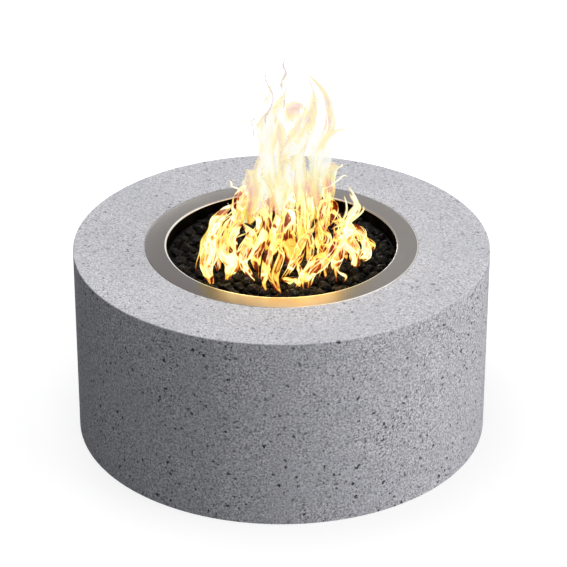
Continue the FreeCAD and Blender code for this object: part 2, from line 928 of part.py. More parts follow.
def make_air_mixer():
    """The air mixer: a threaded spud, a hexagon and a slotted barrel."""
    body = new_body("air_mixer")
    start = elbow_reach - thread_length + 0.5
    chamber = elbow_reach + mixer_hex - 2
    prism(body, PIPE_SIDES, pipe_r * 2, start, elbow_reach)
    prism(body, 6, driving("mixer_dia") * 1.15, elbow_reach, elbow_reach + mixer_hex)
    prism(body, PIPE_SIDES, driving("mixer_dia"), elbow_reach + mixer_hex, mixer_end)
    drill(body, PIPE_SIDES, driving("pipe_bore"), start, chamber - start)
    drill(body, PIPE_SIDES, driving("mixer_dia") - 5, chamber, mixer_end - 6 - chamber)
    drill(body, 12, nose_flats + thread_gap * 2, mixer_end - 7, 7)
    slot_low = elbow_reach + mixer_hex + 10
    slot = upright(body)
    rectangle(slot, -3, 3, slot_low, slot_low + 24)
    around(body, [cut(body, slot, 30)], 4)
    place(body, 0, 0, elbow_z, TOWARD_REAR)
    return keep(body)


def make_orifice():
    """The brass orifice fitting: nose in the mixer, hexagon, and a male flare for the hose."""
    body = new_body("orifice_fitting")
    prism(body, 12, nose_flats, mixer_end - 10, mixer_end)
    prism(body, 6, 17, mixer_end, orifice_root)
    prism(body, 12, flare_r * 2, orifice_root, orifice_root + flare_length)
    bore = level(body, orifice_root + flare_length)
    polygon(bore, 8, bore_flats)
    cut(body, bore, 22)
    jet = level(body, mixer_end - 10)
    polygon(jet, 8, 2)
    cut(body, jet, 12, along=True)
    place(body, 0, 0, elbow_z, TOWARD_REAR)
    return keep(body)


def make_valve():
    """The safety valve: a block with an inlet, an outlet, a thermocouple boss and a flange."""
    body = new_body("safety_valve")
    block = upright(body, valve_back)
    rectangle(block, knob_x - valve_half_w, knob_x + valve_half_w,
              control_z - valve_half_h, control_z + valve_half_h)
    pad(body, block, valve_front - valve_back, back=True)
    neck = upright(body, valve_front)
    polygon(neck, 16, 24, knob_x, control_z)
    pad(body, neck, recess_y - valve_front, back=True)
    flange = upright(body, recess_y - 4)
    rectangle(flange, knob_x - valve_lug - 7, knob_x + valve_lug + 7, control_z - 11, control_z + 11)
    pad(body, flange, 4, back=True)
    valve_ports(body)
    valve_cavities(body)
    return keep(body)


def valve_ports(body):
    """Flared inlet below, flared outlet behind, thermocouple boss at the side."""
    step = level(body, control_z - valve_half_h)
    polygon(step, 12, flare_r * 2 + 3, knob_x, valve_inlet_y)
    pad(body, step, port_step, back=True)
    inlet = level(body, valve_inlet_z)
    polygon(inlet, 12, flare_r * 2, knob_x, valve_inlet_y)
    pad(body, inlet, flare_length, back=True)
    outlet_step = upright(body, valve_back)
    polygon(outlet_step, 12, flare_r * 2 + 3, knob_x, control_z)
    pad(body, outlet_step, port_step)
    outlet = upright(body, valve_back - port_step)
    polygon(outlet, 12, flare_r * 2, knob_x, control_z)
    pad(body, outlet, flare_length)
    boss = new_sketch(body, "YZ_Plane", knob_x - valve_half_w)
    polygon(boss, 12, 15, sensor_y, control_z)
    pad(body, boss, sensor_boss, back=True)


def valve_cavities(body):
    """The plug's chamber, the spring's chamber, the stem's bore and the gas ways."""
    rooms = (
        (chamber_back, recess_y + 1, stem_r + stem_gap),
        (chamber_back, chamber_back + plug_length + 0.6, plug_r + plug_gap),
        (spring_back, collar_front + 0.3, collar_r + 0.6),
    )
    for back, front, radius in rooms:
        room = upright(body, back)
        polygon(room, 16, radius * 2, knob_x, control_z)
        cut(body, room, front - back)
    way_out = upright(body, chamber_back + 1)
    polygon(way_out, 8, bore_flats, knob_x, control_z)
    cut(body, way_out, chamber_back - valve_back + port_step + flare_length + 2, along=True)
    way_in = level(body, valve_inlet_z - flare_length)
    polygon(way_in, 8, 7, knob_x, valve_inlet_y)
    cut(body, way_in, flare_length + port_step + valve_half_h - plug_r + 2, along=True)
    lug_holes = upright(body, recess_y)
    for x in (knob_x - valve_lug, knob_x + valve_lug):
        screw_hole(lug_holes, x, control_z)
    cut(body, lug_holes, 5, along=True)


def make_plug():
    """The brass plug that turns in the valve: a socket for the stem and a gas way to the rear."""
    body = new_body("valve_plug")
    prism(body, 16, plug_r * 2, 0, plug_length)
    drill(body, 16, (stem_r + stem_gap) * 2, socket_floor, plug_length - socket_floor)
    drill(body, 8, 6, 0, 5)
    side = upright(body)
    rectangle(side, -2, 2, 1, 5)
    cut(body, side, plug_r + 1)
    place(body, knob_x, chamber_back + 0.3, control_z, TOWARD_REAR)
    return keep(body)


def make_stem():
    """The stem, with the collar that its spring pushes forward."""
    collar_back = collar_front - 2
    stem_back = chamber_back + 0.3 + socket_floor + driving("knob_travel") + 1
    front = knob_back + driving("knob_length") - knob_cap
    body = new_body("valve_stem")
    prism(body, 16, stem_r * 2, stem_back, front)
    prism(body, 16, collar_r * 2, collar_back, collar_front)
    flat = level(body, knob_back + 2)
    rectangle(flat, stem_r - 1.2, stem_r + 2, -stem_r - 1, stem_r + 1)
    cut(body, flat, driving("knob_length"), along=True)
    place(body, knob_x, 0, control_z, TOWARD_REAR)
    keep(body)
    gap = driving("seat_gap")
    where = spot(knob_x, 0, control_z, TOWARD_REAR)
    coil("valve_return_spring", 5.4, 1.1, spring_back + gap, collar_back - gap, 3, where)


def make_knob():
    """The knob: a round skirt, a grip with finger notches and a pointer groove."""
    length = driving("knob_length")
    skirt = 6
    body = new_body("control_knob")
    prism(body, 24, knob_r * 2, 0, skirt)
    grip = level(body, skirt)
    crest = knob_r - 3
    valley = knob_r - 6
    corners = []
    for notch in range(10):
        for turn, radius in ((-11, crest), (11, crest), (18, valley)):
            angle = math.radians(36 * notch + turn)
            corners.append((radius * math.cos(angle), radius * math.sin(angle)))
    outline(grip, corners)
    pad(body, grip, length - skirt)
    bore = level(body, 0)
    gap = thread_gap
    outline(bore, [
        (-stem_r - gap, -stem_r - gap),
        (stem_r - 1.2 + gap, -stem_r - gap),
        (stem_r - 1.2 + gap, stem_r + gap),
        (-stem_r - gap, stem_r + gap),
    ])
    cut(body, bore, length - knob_cap + 0.2, along=True)
    lead_in = level(body, 0)
    polygon(lead_in, 12, stem_r * 2 + 0.4)
    cut(body, lead_in, 2.3, along=True)
    pointer = level(body, length)
    rectangle(pointer, -0.9, 0.9, 3, valley - 1)
    cut(body, pointer, 1)
    place(body, knob_x, knob_back, control_z, TOWARD_REAR)
    return keep(body)


# ---------------------------------------------------------------- control panel

def make_control_plate():
    """The brushed plate in the recess, with holes for the valve and the igniter."""
    body = new_body("control_plate")
    sketch = upright(body, recess_y)
    rectangle(sketch, -plate_half_w, plate_half_w,
              control_z - plate_half_h, control_z + plate_half_h, driving("recess_corner") - 2)
    pad(body, sketch, pan_sheet, back=True)
    holes = upright(body, recess_y - 1)
    polygon(holes, 16, stem_r * 2 + 4, knob_x, control_z)
    polygon(holes, 16, igniter_r * 2 + 0.4, igniter_x, control_z)
    for x in (knob_x - valve_lug, knob_x + valve_lug):
        screw_hole(holes, x, control_z)
    for x in (-plate_screw_x, plate_screw_x):
        for z in (control_z - plate_screw_z, control_z + plate_screw_z):
            screw_hole(holes, x, z)
    cut(body, holes, 10)
    return keep(body)


def make_panel_screws():
    """Screws that hold the plate to the concrete and the valve to the plate."""
    places = []
    for x in (-plate_screw_x, plate_screw_x):
        for z in (control_z - plate_screw_z, control_z + plate_screw_z):
            places.append(spot(x, panel_y, z, TOWARD_REAR))
    group("control_plate_screws", copies(hex_head_screw(15), places))
    places = [spot(x, panel_y, control_z, TOWARD_REAR) for x in (knob_x - valve_lug, knob_x + valve_lug)]
    group("valve_screws", copies(hex_head_screw(6.5), places))


def make_bezel():
    """The ring round the stem behind the knob."""
    body = new_body("knob_bezel")
    prism(body, 24, 31, 0, 1.2)
    prism(body, 24, 29, 1.2, 2)
    drill(body, 16, stem_r * 2 + 4, 0, 2)
    place(body, knob_x, panel_y, control_z, TOWARD_REAR)
    return keep(body)


def make_igniter():
    """The push-button igniter: housing, nut, battery, spring and button."""
    length = driving("igniter_length")
    flange = igniter_flange
    battery_d = driving("battery_dia")
    battery_back = 3.3
    shoulder = battery_back + driving("battery_length") - 1.5
    counterbore = length - 10
    housing = new_body("igniter_housing")
    prism(housing, 16, igniter_r * 2, 0, length - flange)
    prism(housing, 24, igniter_r * 2 + 8, length - flange, length)
    drill(housing, 16, battery_d + 0.8, 3, length)
    drill(housing, 16, button_r * 2 + 0.6, counterbore, length)
    place(housing, igniter_x, igniter_back, control_z, TOWARD_REAR)
    keep(housing)
    nut = new_body("igniter_nut")
    prism(nut, 6, igniter_r * 2 + 6, 0, 6)
    drill(nut, 16, igniter_r * 2 + 0.2, 0, 6)
    place(nut, igniter_x, recess_y - 6, control_z, TOWARD_REAR)
    keep(nut)
    battery = new_body("igniter_battery")
    prism(battery, 16, battery_d, battery_back, shoulder)
    prism(battery, 8, 5.4, shoulder, shoulder + 1.5)
    place(battery, igniter_x, igniter_back, control_z, TOWARD_REAR)
    keep(battery)
    button_back = counterbore + driving("button_travel") + 0.4
    button_front = length + driving("button_travel") + 2
    button = new_body("igniter_button")
    prism(button, 16, button_r * 2, button_back, button_front - 1)
    prism(button, 16, button_r * 2 - 2, button_front - 1, button_front)
    drill(button, 16, 13.2, button_back, 4)
    place(button, igniter_x, igniter_back, control_z, TOWARD_REAR)
    keep(button)
    where = spot(igniter_x, igniter_back, control_z, TOWARD_REAR)
    gap = driving("seat_gap")
    coil("igniter_spring", 4.6, 0.9, shoulder + gap, button_back + 4 - gap, 4, where)
    tab = Part.makeBox(6.3, 0.8, 8)
    x_low = igniter_x - 3.15
    tabs = [spot(x_low, igniter_back, control_z + lift, TOWARD_FRONT) for lift in (-5, 5)]
    group("igniter_terminals", copies(tab, tabs))


# ---------------------------------------------------------------- gas inlet

def make_inlet():
    """The bracket inside the notch, with a bulkhead elbow, its nut and its screws."""
    bracket = new_body("inlet_bracket")
    face = upright(bracket, bracket_back)
    rectangle(face, -bracket_half, bracket_half, bracket_low, bracket_high)
    pad(bracket, face, bracket_sheet, back=True)
    lip = level(bracket, bracket_high - bracket_sheet)
    rectangle(lip, -bracket_half + 3, bracket_half - 3, bracket_back - 9, bracket_back + 1)
    pad(bracket, lip, bracket_sheet)
    slot = level(bracket, bracket_high)
    rectangle(slot, -12, 12, bracket_back - 10, bracket_back)
    cut(bracket, slot, 5)
    holes = upright(bracket, bracket_back - 1)
    polygon(holes, 16, flare_r * 2 + 0.6, 0, inlet_z)
    for x in (-bracket_screw_x, bracket_screw_x):
        for z in (inlet_z - bracket_screw_z, inlet_z + bracket_screw_z):
            screw_hole(holes, x, z)
    cut(bracket, holes, 10)
    keep(bracket)
    make_inlet_elbow()
    nut = new_body("inlet_lock_nut")
    prism(nut, 6, 24, 0, inlet_nut)
    drill(nut, 16, flare_r * 2 + 0.5, 0, inlet_nut)
    place(nut, 0, bracket_y, inlet_z, TOWARD_REAR)
    keep(nut)
    screw = hex_head_screw(18)
    places = [
        spot(x, bracket_back, inlet_z + lift, TOWARD_FRONT)
        for x in (-bracket_screw_x, bracket_screw_x)
        for lift in (-bracket_screw_z, bracket_screw_z)
    ]
    group("inlet_bracket_screws", copies(screw, places))


def make_inlet_elbow():
    """A brass elbow: a bulkhead stub to the rear and a flared end upward."""
    body = new_body("inlet_elbow")
    core_r = elbow_core_r
    stub_root = bracket_y + inlet_nut + 0.5
    core_back = bracket_back - elbow_collar - core_r * 2
    core = upright(body, core_back)
    rectangle(core, -core_r, core_r, inlet_z - core_r, inlet_z + core_r)
    pad(body, core, core_r * 2, back=True)
    collar = upright(body, bracket_back - elbow_collar)
    hexagon(collar, 24, 0, inlet_z)
    pad(body, collar, elbow_collar, back=True)
    shank = upright(body, bracket_back)
    polygon(shank, 16, flare_r * 2 + 0.3, 0, inlet_z)
    pad(body, shank, stub_root - bracket_back, back=True)
    stub = upright(body, stub_root)
    circle(stub, 0, inlet_z, flare_r)
    pad(body, stub, flare_length, back=True)
    rise_y = core_back + core_r
    riser = level(body, inlet_z + core_r)
    polygon(riser, 12, flare_r * 2, 0, rise_y)
    pad(body, riser, flare_length)
    inward = upright(body, stub_root + flare_length)
    polygon(inward, 8, bore_flats, 0, inlet_z)
    cut(body, inward, stub_root + flare_length - rise_y, along=True)
    upward = level(body, inlet_z + core_r + flare_length)
    polygon(upward, 8, bore_flats, 0, rise_y)
    cut(body, upward, core_r + flare_length)
    return keep(body)


def make_hoses():
    """Flare nuts, and the two flexible gas lines that they hold."""
    nut = new_body("flare_nut_pattern")
    prism(nut, 6, driving("flare_nut_flats"), 0, 12)
    prism(nut, 12, hose_r * 2 + 3.2, 12, 19)
    drill(nut, 12, flare_r * 2 + thread_gap * 2, 0, 20)
    rise_y = bracket_back - elbow_collar - elbow_core_r
    riser_z = inlet_z + elbow_core_r
    outlet_y = valve_back - port_step
    group("flare_nuts", copies(nut.Shape, [
        spot(0, rise_y, riser_z + 0.3, UPWARD),
        spot(knob_x, valve_inlet_y, valve_inlet_z - 0.3, DOWNWARD),
        spot(knob_x, outlet_y - 0.3, control_z, TOWARD_FRONT),
        spot(0, orifice_root + 0.3, elbow_z, TOWARD_REAR),
    ]))
    hose_low = riser_z + flare_length
    hose_high = valve_inlet_z - flare_length
    tube("inlet_gas_line", [
        (0, rise_y, hose_low),
        (0, rise_y, hose_low + 75),
        (knob_x, valve_inlet_y, hose_high - 75),
        (knob_x, valve_inlet_y, hose_high),
    ], hose_r, 8)
    outlet_end = outlet_y - flare_length
    orifice_tip = orifice_root + flare_length
    tube("burner_gas_line", [
        (knob_x, outlet_end, control_z),
        (knob_x, outlet_end - 85, control_z),
        (0, orifice_tip + 85, elbow_z),
        (0, orifice_tip, elbow_z),
    ], hose_r, 8)


# ---------------------------------------------------------------- pilot group

def make_pilot():
    """Bracket, shield, spark electrode and thermocouple beside the outer ring."""
    back = pilot_r + shield_half_d
    front = pilot_r - shield_half_d
    left = pilot_mid - shield_half_w
    right = pilot_mid + shield_half_w
    bracket = new_body("pilot_bracket")
    base = level(bracket, floor_top)
    rectangle(base, left + shield_sheet, right - shield_sheet, front + 2, back - shield_sheet)
    pad(bracket, base, bracket_top - floor_top)
    holes = level(bracket, floor_top)
    polygon(holes, 12, 7.4, spark_x, pilot_r)
    polygon(holes, 12, 6.6, probe_x, pilot_r)
    for reach in (-pilot_screw_reach, pilot_screw_reach):
        screw_hole(holes, pilot_mid + reach, pilot_r)
    cut(bracket, holes, 5, along=True)
    keep(bracket)
    shield = new_body("pilot_shield")
    wrap = level(shield, floor_top)
    outline(wrap, [
        (left, front),
        (left + shield_sheet, front),
        (left + shield_sheet, back - shield_sheet),
        (right - shield_sheet, back - shield_sheet),
        (right - shield_sheet, front),
        (right, front),
        (right, back),
        (left, back),
    ])
    pad(shield, wrap, driving("shield_height"))
    windows = upright(shield, pilot_r)
    for reach in (-18, 0, 18):
        hexagon(windows, 8, pilot_mid + reach, floor_top + 42)
    cut(shield, windows, 30)
    keep(shield)
    places = [
        spot(pilot_mid + reach, pilot_r, bracket_top, UPWARD)
        for reach in (-pilot_screw_reach, pilot_screw_reach)
    ]
    group("pilot_screws", copies(hex_head_screw(7), places))
    make_electrode()
    make_thermocouple()


def make_electrode():
    """The ceramic insulator, the bent spark rod in it, and the lead to the igniter."""
    ceramic = new_body("electrode_insulator")
    low = floor_under - 10
    high = bracket_top + 34
    prism(ceramic, 12, 7, low, bracket_top)
    prism(ceramic, 12, 10, bracket_top, bracket_top + 5)
    prism(ceramic, 12, 7, bracket_top + 5, high)
    drill(ceramic, 6, 2.5, low, high - low)
    place(ceramic, spark_x, pilot_r, 0)
    keep(ceramic)
    rod_low = low - 4
    rod_top = burner_z + ring_tube_r + 8
    tube("spark_electrode", [
        (spark_x, pilot_r, rod_low),
        (spark_x, pilot_r, rod_top),
        (spark_x, pilot_r - 12, rod_top + 3),
    ], 1.2, 6)
    terminal_z = control_z + 5
    span = igniter_back - pilot_r
    tube("spark_lead", [
        (spark_x, pilot_r, rod_low),
        (spark_x, pilot_r, rod_low - 30),
        (spark_x - 2, pilot_r + span * 0.4, rod_low - 44),
        (igniter_x, pilot_r + span * 0.7, terminal_z),
        (igniter_x, igniter_back - 8, terminal_z),
    ], 2.2, 6)


def make_thermocouple():
    """The thermocouple probe, and its lead to the valve."""
    probe = new_body("thermocouple_probe")
    low = floor_under - 8
    prism(probe, 12, 6.2, low, bracket_top)
    prism(probe, 6, 9, bracket_top, bracket_top + 5)
    prism(probe, 12, 4.8, bracket_top + 5, burner_z + ring_tube_r + 8)
    place(probe, probe_x, pilot_r, 0)
    keep(probe)
    boss_end = knob_x - valve_half_w - sensor_boss
    span = sensor_y - pilot_r
    nut = new_body("thermocouple_nut")
    prism(nut, 6, 11, 0, 8)
    place(nut, boss_end, sensor_y, control_z, TOWARD_LEFT)
    keep(nut)
    tube("thermocouple_lead", [
        (probe_x, pilot_r, low),
        (probe_x, pilot_r, low - 32),
        (probe_x + 1, pilot_r + span * 0.29, control_z + 1),
        (probe_x - 6, pilot_r + span * 0.57, control_z),
        (boss_end - 35, sensor_y - 36, control_z),
        (boss_end - 33, sensor_y, control_z),
        (boss_end - 8, sensor_y, control_z),
    ], 1.4, 6)


# ---------------------------------------------------------------- lava rock

def make_rock_bed():
    """The packed bed, hollow where the burner, its stands and the pilot group stand."""
    body = new_body("lava_rock_bed")
    clear = driving("stand_width") / 2 + rock_fit
    roof = burner_z + ring_tube_r + rock_fit
    profile = upright(body)
    outline(profile, [
        (0, rock_top),
        (0, roof),
        (outer_ring_r + clear, roof),
        (outer_ring_r + clear, floor_top),
        (opening_r - rock_fit, floor_top),
        (opening_r - rock_fit, rock_top),
    ])
    spin(body, profile)
    pocket = level(body, floor_top)
    half_w = shield_half_w + rock_fit
    half_d = shield_half_d + rock_fit
    rectangle(pocket, pilot_mid - half_w, pilot_mid + half_w, pilot_r - half_d - 6, pilot_r + half_d)
    cut(body, pocket, rock_top - floor_top + 5, along=True)
    return keep(body)


def rock_lump(rng, reach, height):
    """One angular lump: three rings of four points, with flat ends."""
    sides = 4
    levels = ((0.0, 0.72), (0.45, 1.0), (1.0, 0.55))
    start = rng.uniform(0, 2 * math.pi)
    tilt_x, tilt_y = rng.uniform(-0.18, 0.18), rng.uniform(-0.18, 0.18)
    rings = []
    for index, (rise, share) in enumerate(levels):
        ring = []
        for side in range(sides):
            angle = start + (side + 0.5 * index) * 2 * math.pi / sides + rng.uniform(-0.2, 0.2)
            out = reach * share * rng.uniform(0.82, 1.0)
            x, y = out * math.cos(angle), out * math.sin(angle)
            lean = x * tilt_x + y * tilt_y if index == 2 else 0
            wobble = rng.uniform(-0.06, 0.06) * height if index == 1 else 0
            ring.append(Vector(x, y, rise * height + lean + wobble))
        rings.append(ring)
    faces = [Part.Face(Part.makePolygon(rings[0] + rings[0][:1]))]
    faces.append(Part.Face(Part.makePolygon(rings[2] + rings[2][:1])))
    for low, high in zip(rings, rings[1:]):
        for side in range(sides):
            after = (side + 1) % sides
            for corners in ((low[side], low[after], high[side]), (low[after], high[after], high[side])):
                faces.append(Part.Face(Part.makePolygon(list(corners) + [corners[0]])))
    solid = Part.Solid(Part.Shell(faces))
    if solid.Volume < 0:
        solid.reverse()
    return solid


def make_rock_lumps():
    """A seeded scatter of lumps that lie on the bed without touching each other."""
    rng = random.Random(7)
    reach_limit = (opening_r - rock_fit).number
    bed = rock_top.number
    room = (body_h - rock_top).number - 15
    pocket_x = pilot_mid.number
    pocket_w = shield_half_w.number + 4
    pocket_y = (pilot_r - shield_half_d).number - 12
    lumps, taken = [], []
    for reach in (27, 23, 19):
        for _ in range(1500):
            x = rng.uniform(-reach_limit, reach_limit)
            y = rng.uniform(-reach_limit, reach_limit)
            if math.hypot(x, y) + reach > reach_limit:
                continue
            if abs(x - pocket_x) < pocket_w + reach and y > pocket_y - reach:
                continue
            if any(math.hypot(x - a, y - b) < reach + c + 0.4 for a, b, c in taken):
                continue
            taken.append((x, y, reach))
            lump = rock_lump(rng, reach, min(room, reach * rng.uniform(0.9, 1.15)))
            lump.translate(Vector(x, y, bed))
            lumps.append(lump)
    print(f"lava rock lumps: {len(lumps)}")
    return group("lava_rock_lumps", lumps)


# ---------------------------------------------------------------- build, check, export

make_shell()
make_vent_grille("vent_grille_right", driving("vent_angle").number)
make_vent_grille("vent_grille_left", 180 - driving("vent_angle").number)
make_vent_screws()
make_pan()
make_burner()
make_burner_stands()
make_supply_pipe()
make_elbow()
make_air_mixer()
make_orifice()
make_valve()
make_plug()
make_stem()
make_knob()
make_control_plate()
make_panel_screws()
make_bezel()
make_igniter()
make_inlet()
make_hoses()
make_pilot()
make_rock_bed()
make_rock_lumps()

doc.recompute()
for item in doc.Objects:
    if "Invalid" in item.State or "Error" in item.State:
        raise ValueError(f"{item.Label}: {item.State}")
for label, item in PARTS.items():
    if item.Shape.isNull() or not item.Shape.isValid():
        raise ValueError(f"{label}: the shape is null or not valid")
for label, item in PARTS.items():
    item.Shape.exportStep(f"parts/{label}.step")
print(f"{len(PARTS)} sub-parts written")
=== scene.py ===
# %% [markdown]
# # A round concrete fire pit, lit
#
# The solid parts of the pit come from CAD and are already in place, in metres, with the ground
# at zero and the front towards minus Y. This script gives each of them a finish, remakes the few
# that need softer or rougher shapes than CAD gives them, and lights the burner.

# %% Load the pit
import math
import random

import bmesh
import bpy
from mathutils import Matrix, Vector, noise


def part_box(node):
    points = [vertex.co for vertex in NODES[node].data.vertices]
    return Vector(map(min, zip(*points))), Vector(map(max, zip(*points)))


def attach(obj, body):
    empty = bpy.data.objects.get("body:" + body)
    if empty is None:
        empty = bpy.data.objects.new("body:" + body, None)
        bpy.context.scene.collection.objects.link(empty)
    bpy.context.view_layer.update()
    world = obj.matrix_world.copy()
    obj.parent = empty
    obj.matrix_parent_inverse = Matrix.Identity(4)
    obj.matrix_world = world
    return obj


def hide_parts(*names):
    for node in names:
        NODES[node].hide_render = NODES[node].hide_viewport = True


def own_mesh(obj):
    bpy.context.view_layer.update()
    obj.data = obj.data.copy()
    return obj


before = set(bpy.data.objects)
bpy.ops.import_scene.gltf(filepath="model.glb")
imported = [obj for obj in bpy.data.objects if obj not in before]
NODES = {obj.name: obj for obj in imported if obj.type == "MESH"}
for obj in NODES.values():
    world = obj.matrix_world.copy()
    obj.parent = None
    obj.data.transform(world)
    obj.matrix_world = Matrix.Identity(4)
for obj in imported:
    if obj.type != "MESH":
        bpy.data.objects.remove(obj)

# Without a seed of its own, noise_vector starts from the clock.
noise.seed_set(2)

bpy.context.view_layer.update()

# %% [markdown]
# ## The sizes that the finishes and new pieces share
#
# The opening, the pan and the height of the rim decide where the rocks lie and where the flame
# stands, so they are read once from the CAD nodes and named here.

# %% Shared sizes
BODY_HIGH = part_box("concrete_shell")[1]
BODY_R = BODY_HIGH.x
RIM_Z = BODY_HIGH.z
PAN_LOW, PAN_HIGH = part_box("burner_pan")
RING_R = PAN_HIGH.x
BED_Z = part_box("lava_rock_bed")[1].z
OPENING_R = 0.295   # inside of the pan's wall
SHEET = 0.002       # thickness of the pan's steel
BURNER_R = 0.2285   # outside of the larger burner ring
print(f"body {BODY_R * 2:.3f} across, rim at {RIM_Z:.3f}")
print(f"ring {RING_R * 2:.3f} across, bed at {BED_Z:.3f}")

# %% [markdown]
# ## Writing shader maths as Python
#
# A finish is a small graph of nodes, and most of the nodes are plain sums. Wrapping an output
# socket in a class with operators lets a mask be written as `1 - pits * depth` and still end up
# as Math nodes that Blender and the exporter understand.

# %% A wire, and a finish that it belongs to
class Wire:
    """One output socket of a finish. Arithmetic on wires adds Math nodes."""

    def __init__(self, finish, socket):
        self.finish = finish
        self.socket = socket

    def maths(self, operation, *values):
        return self.finish.node("ShaderNodeMath", {"operation": operation}, list(values))

    def __add__(self, other):
        return self.maths("ADD", self, other)

    def __sub__(self, other):
        return self.maths("SUBTRACT", self, other)

    def __rsub__(self, other):
        return self.maths("SUBTRACT", other, self)

    def __mul__(self, other):
        return self.maths("MULTIPLY", self, other)

    def __pow__(self, other):
        return self.maths("POWER", self, other)

    def over(self, edge):
        return self.maths("GREATER_THAN", self, edge)

    def under(self, edge):
        return self.maths("LESS_THAN", self, edge)

    def absolute(self):
        return self.maths("ABSOLUTE", self)

    def largest(self, other):
        return self.maths("MAXIMUM", self, other)

    def sibling(self, output):
        """Another output of the same node."""
        return Wire(self.finish, self.socket.node.outputs[output])

    __radd__ = __add__
    __rmul__ = __mul__


class Finish:
    """A node material. Every node comes from one method, so the graph reads from top to bottom."""

    kind, end = "materials", "ShaderNodeOutputMaterial"

    def __init__(self, name):
        self.material = getattr(bpy.data, self.kind).new(name)
        self.material.use_nodes = True
        self.tree = self.material.node_tree
        self.tree.nodes.clear()

    def node(self, kind, settings=None, inputs=None, output=0):
        made = self.tree.nodes.new(kind)
        for key, value in (settings or {}).items():
            if key == "stops":
                ramp = made.color_ramp
                while len(ramp.elements) < len(value):
                    ramp.elements.new(0.5)
                for element, (place, colour) in zip(ramp.elements, value):
                    element.position = place
                    element.color = (*colour, 1)
            else:
                setattr(made, key, value)
        pairs = enumerate(inputs) if isinstance(inputs, list) else (inputs or {}).items()
        for key, value in pairs:
            if isinstance(value, Wire):
                self.tree.links.new(value.socket, made.inputs[key])
            else:
                made.inputs[key].default_value = value
        return Wire(self, made.outputs[output])

    def place(self):
        """Where a point is, in metres. Every CAD node's own origin is the pit's."""
        return self.node("ShaderNodeTexCoord", output="Object")

    def parts(self, vector):
        """The X, Y and Z of a vector, as three wires."""
        first = self.node("ShaderNodeSeparateXYZ", inputs=[vector])
        return [first.sibling(axis) for axis in range(3)]

    def point(self, x, y, z):
        return self.node("ShaderNodeCombineXYZ", inputs=[x, y, z])

    def vector(self, operation, *values):
        return self.node("ShaderNodeVectorMath", {"operation": operation}, list(values))

    def stretch(self, vector, scale):
        return self.vector("MULTIPLY", vector, scale)

    def grain(self, vector, scale, detail=2.0, roughness=0.5):
        return self.node("ShaderNodeTexNoise", inputs={
            "Vector": vector, "Scale": scale, "Detail": detail, "Roughness": roughness,
        })

    def grain_at(self, x, y, z, detail=2.0, roughness=0.5):
        return self.grain(self.point(x, y, z), 1.0, detail, roughness)

    def ease(self, value, low, high, floor=0.0, ceiling=1.0):
        """A smooth step from floor to ceiling while the value goes from low to high."""
        return self.node("ShaderNodeMapRange", {"interpolation_type": "SMOOTHSTEP"}, {
            "Value": value, "From Min": low, "From Max": high, "To Min": floor, "To Max": ceiling,
        })

    def mix(self, factor, first, second):
        """Mix two colours."""
        settings = {"data_type": "RGBA"}
        return self.node("ShaderNodeMix", settings, {0: factor, 6: first, 7: second}, output=2)

    def ramp(self, value, stops):
        return self.node("ShaderNodeValToRGB", {"stops": stops}, [value])

    def cells(self, vector, scale, feature="F1"):
        """How far a point is from the nearest of scattered points, or from a cell's edge."""
        inputs = {"Vector": vector, "Scale": scale}
        return self.node("ShaderNodeTexVoronoi", {"feature": feature}, inputs, "Distance")

    def ray(self, kind):
        """1 where the ray that looks at the surface is a Camera, Glossy or Transmission ray."""
        return self.node("ShaderNodeLightPath", output=f"Is {kind} Ray")

    def bump(self, height, depth, strength):
        """Turn a height of 0 to 1 into a bump that is this deep, in metres."""
        return self.node("ShaderNodeBump", inputs={
            "Height": height, "Distance": depth, "Strength": strength,
        })

    def surface(self, **sockets):
        """Finish with the standard surface shader. Underscores stand for spaces."""
        named = {key.replace("_", " "): value for key, value in sockets.items()}
        return self.done(self.node("ShaderNodeBsdfPrincipled", inputs=named))

    def done(self, shader):
        out = self.tree.nodes.new(self.end)
        self.tree.links.new(shader.socket, out.inputs["Surface"])
        return self.material


class Sky(Finish):
    """The same, for the world behind the pit."""

    kind, end = "worlds", "ShaderNodeOutputWorld"


def dress(material, *nodes):
    """Give CAD nodes this material in every slot."""
    for name in nodes:
        slots = NODES[name].data.materials
        if not slots:
            slots.append(material)
        for index in range(len(slots)):
            slots[index] = material


def mesh_of(name, work):
    mesh = bpy.data.meshes.new(name)
    work.to_mesh(mesh)
    work.free()
    return mesh


def add_piece(name, mesh, *materials):
    """An object for a mesh, in the scene and with its materials."""
    piece = bpy.data.objects.new(name, mesh)
    for material in materials:
        mesh.materials.append(material)
    bpy.context.scene.collection.objects.link(piece)
    return piece


def rgb(red, green, blue):
    """A colour picked on a screen, turned to the linear numbers that shaders use."""
    def linear(value):
        value /= 255
        return value / 12.92 if value <= 0.04045 else ((value + 0.055) / 1.055) ** 2.4
    return (linear(red), linear(green), linear(blue), 1)


print("finish helpers ready")

# %% [markdown]
# ## The camera
#
# The camera stands in front of the pit and looks down at the middle of its top. A long lens from
# about six metres keeps the two sides almost parallel. The small shift moves the frame without
# turning the camera, which would bend the verticals.

# %% Camera
CAMERA_TILT = math.radians(26.96)
CAMERA_DISTANCE = 12.0 * BODY_R
FRAME_PX = 567
FOCAL_PX = 2497

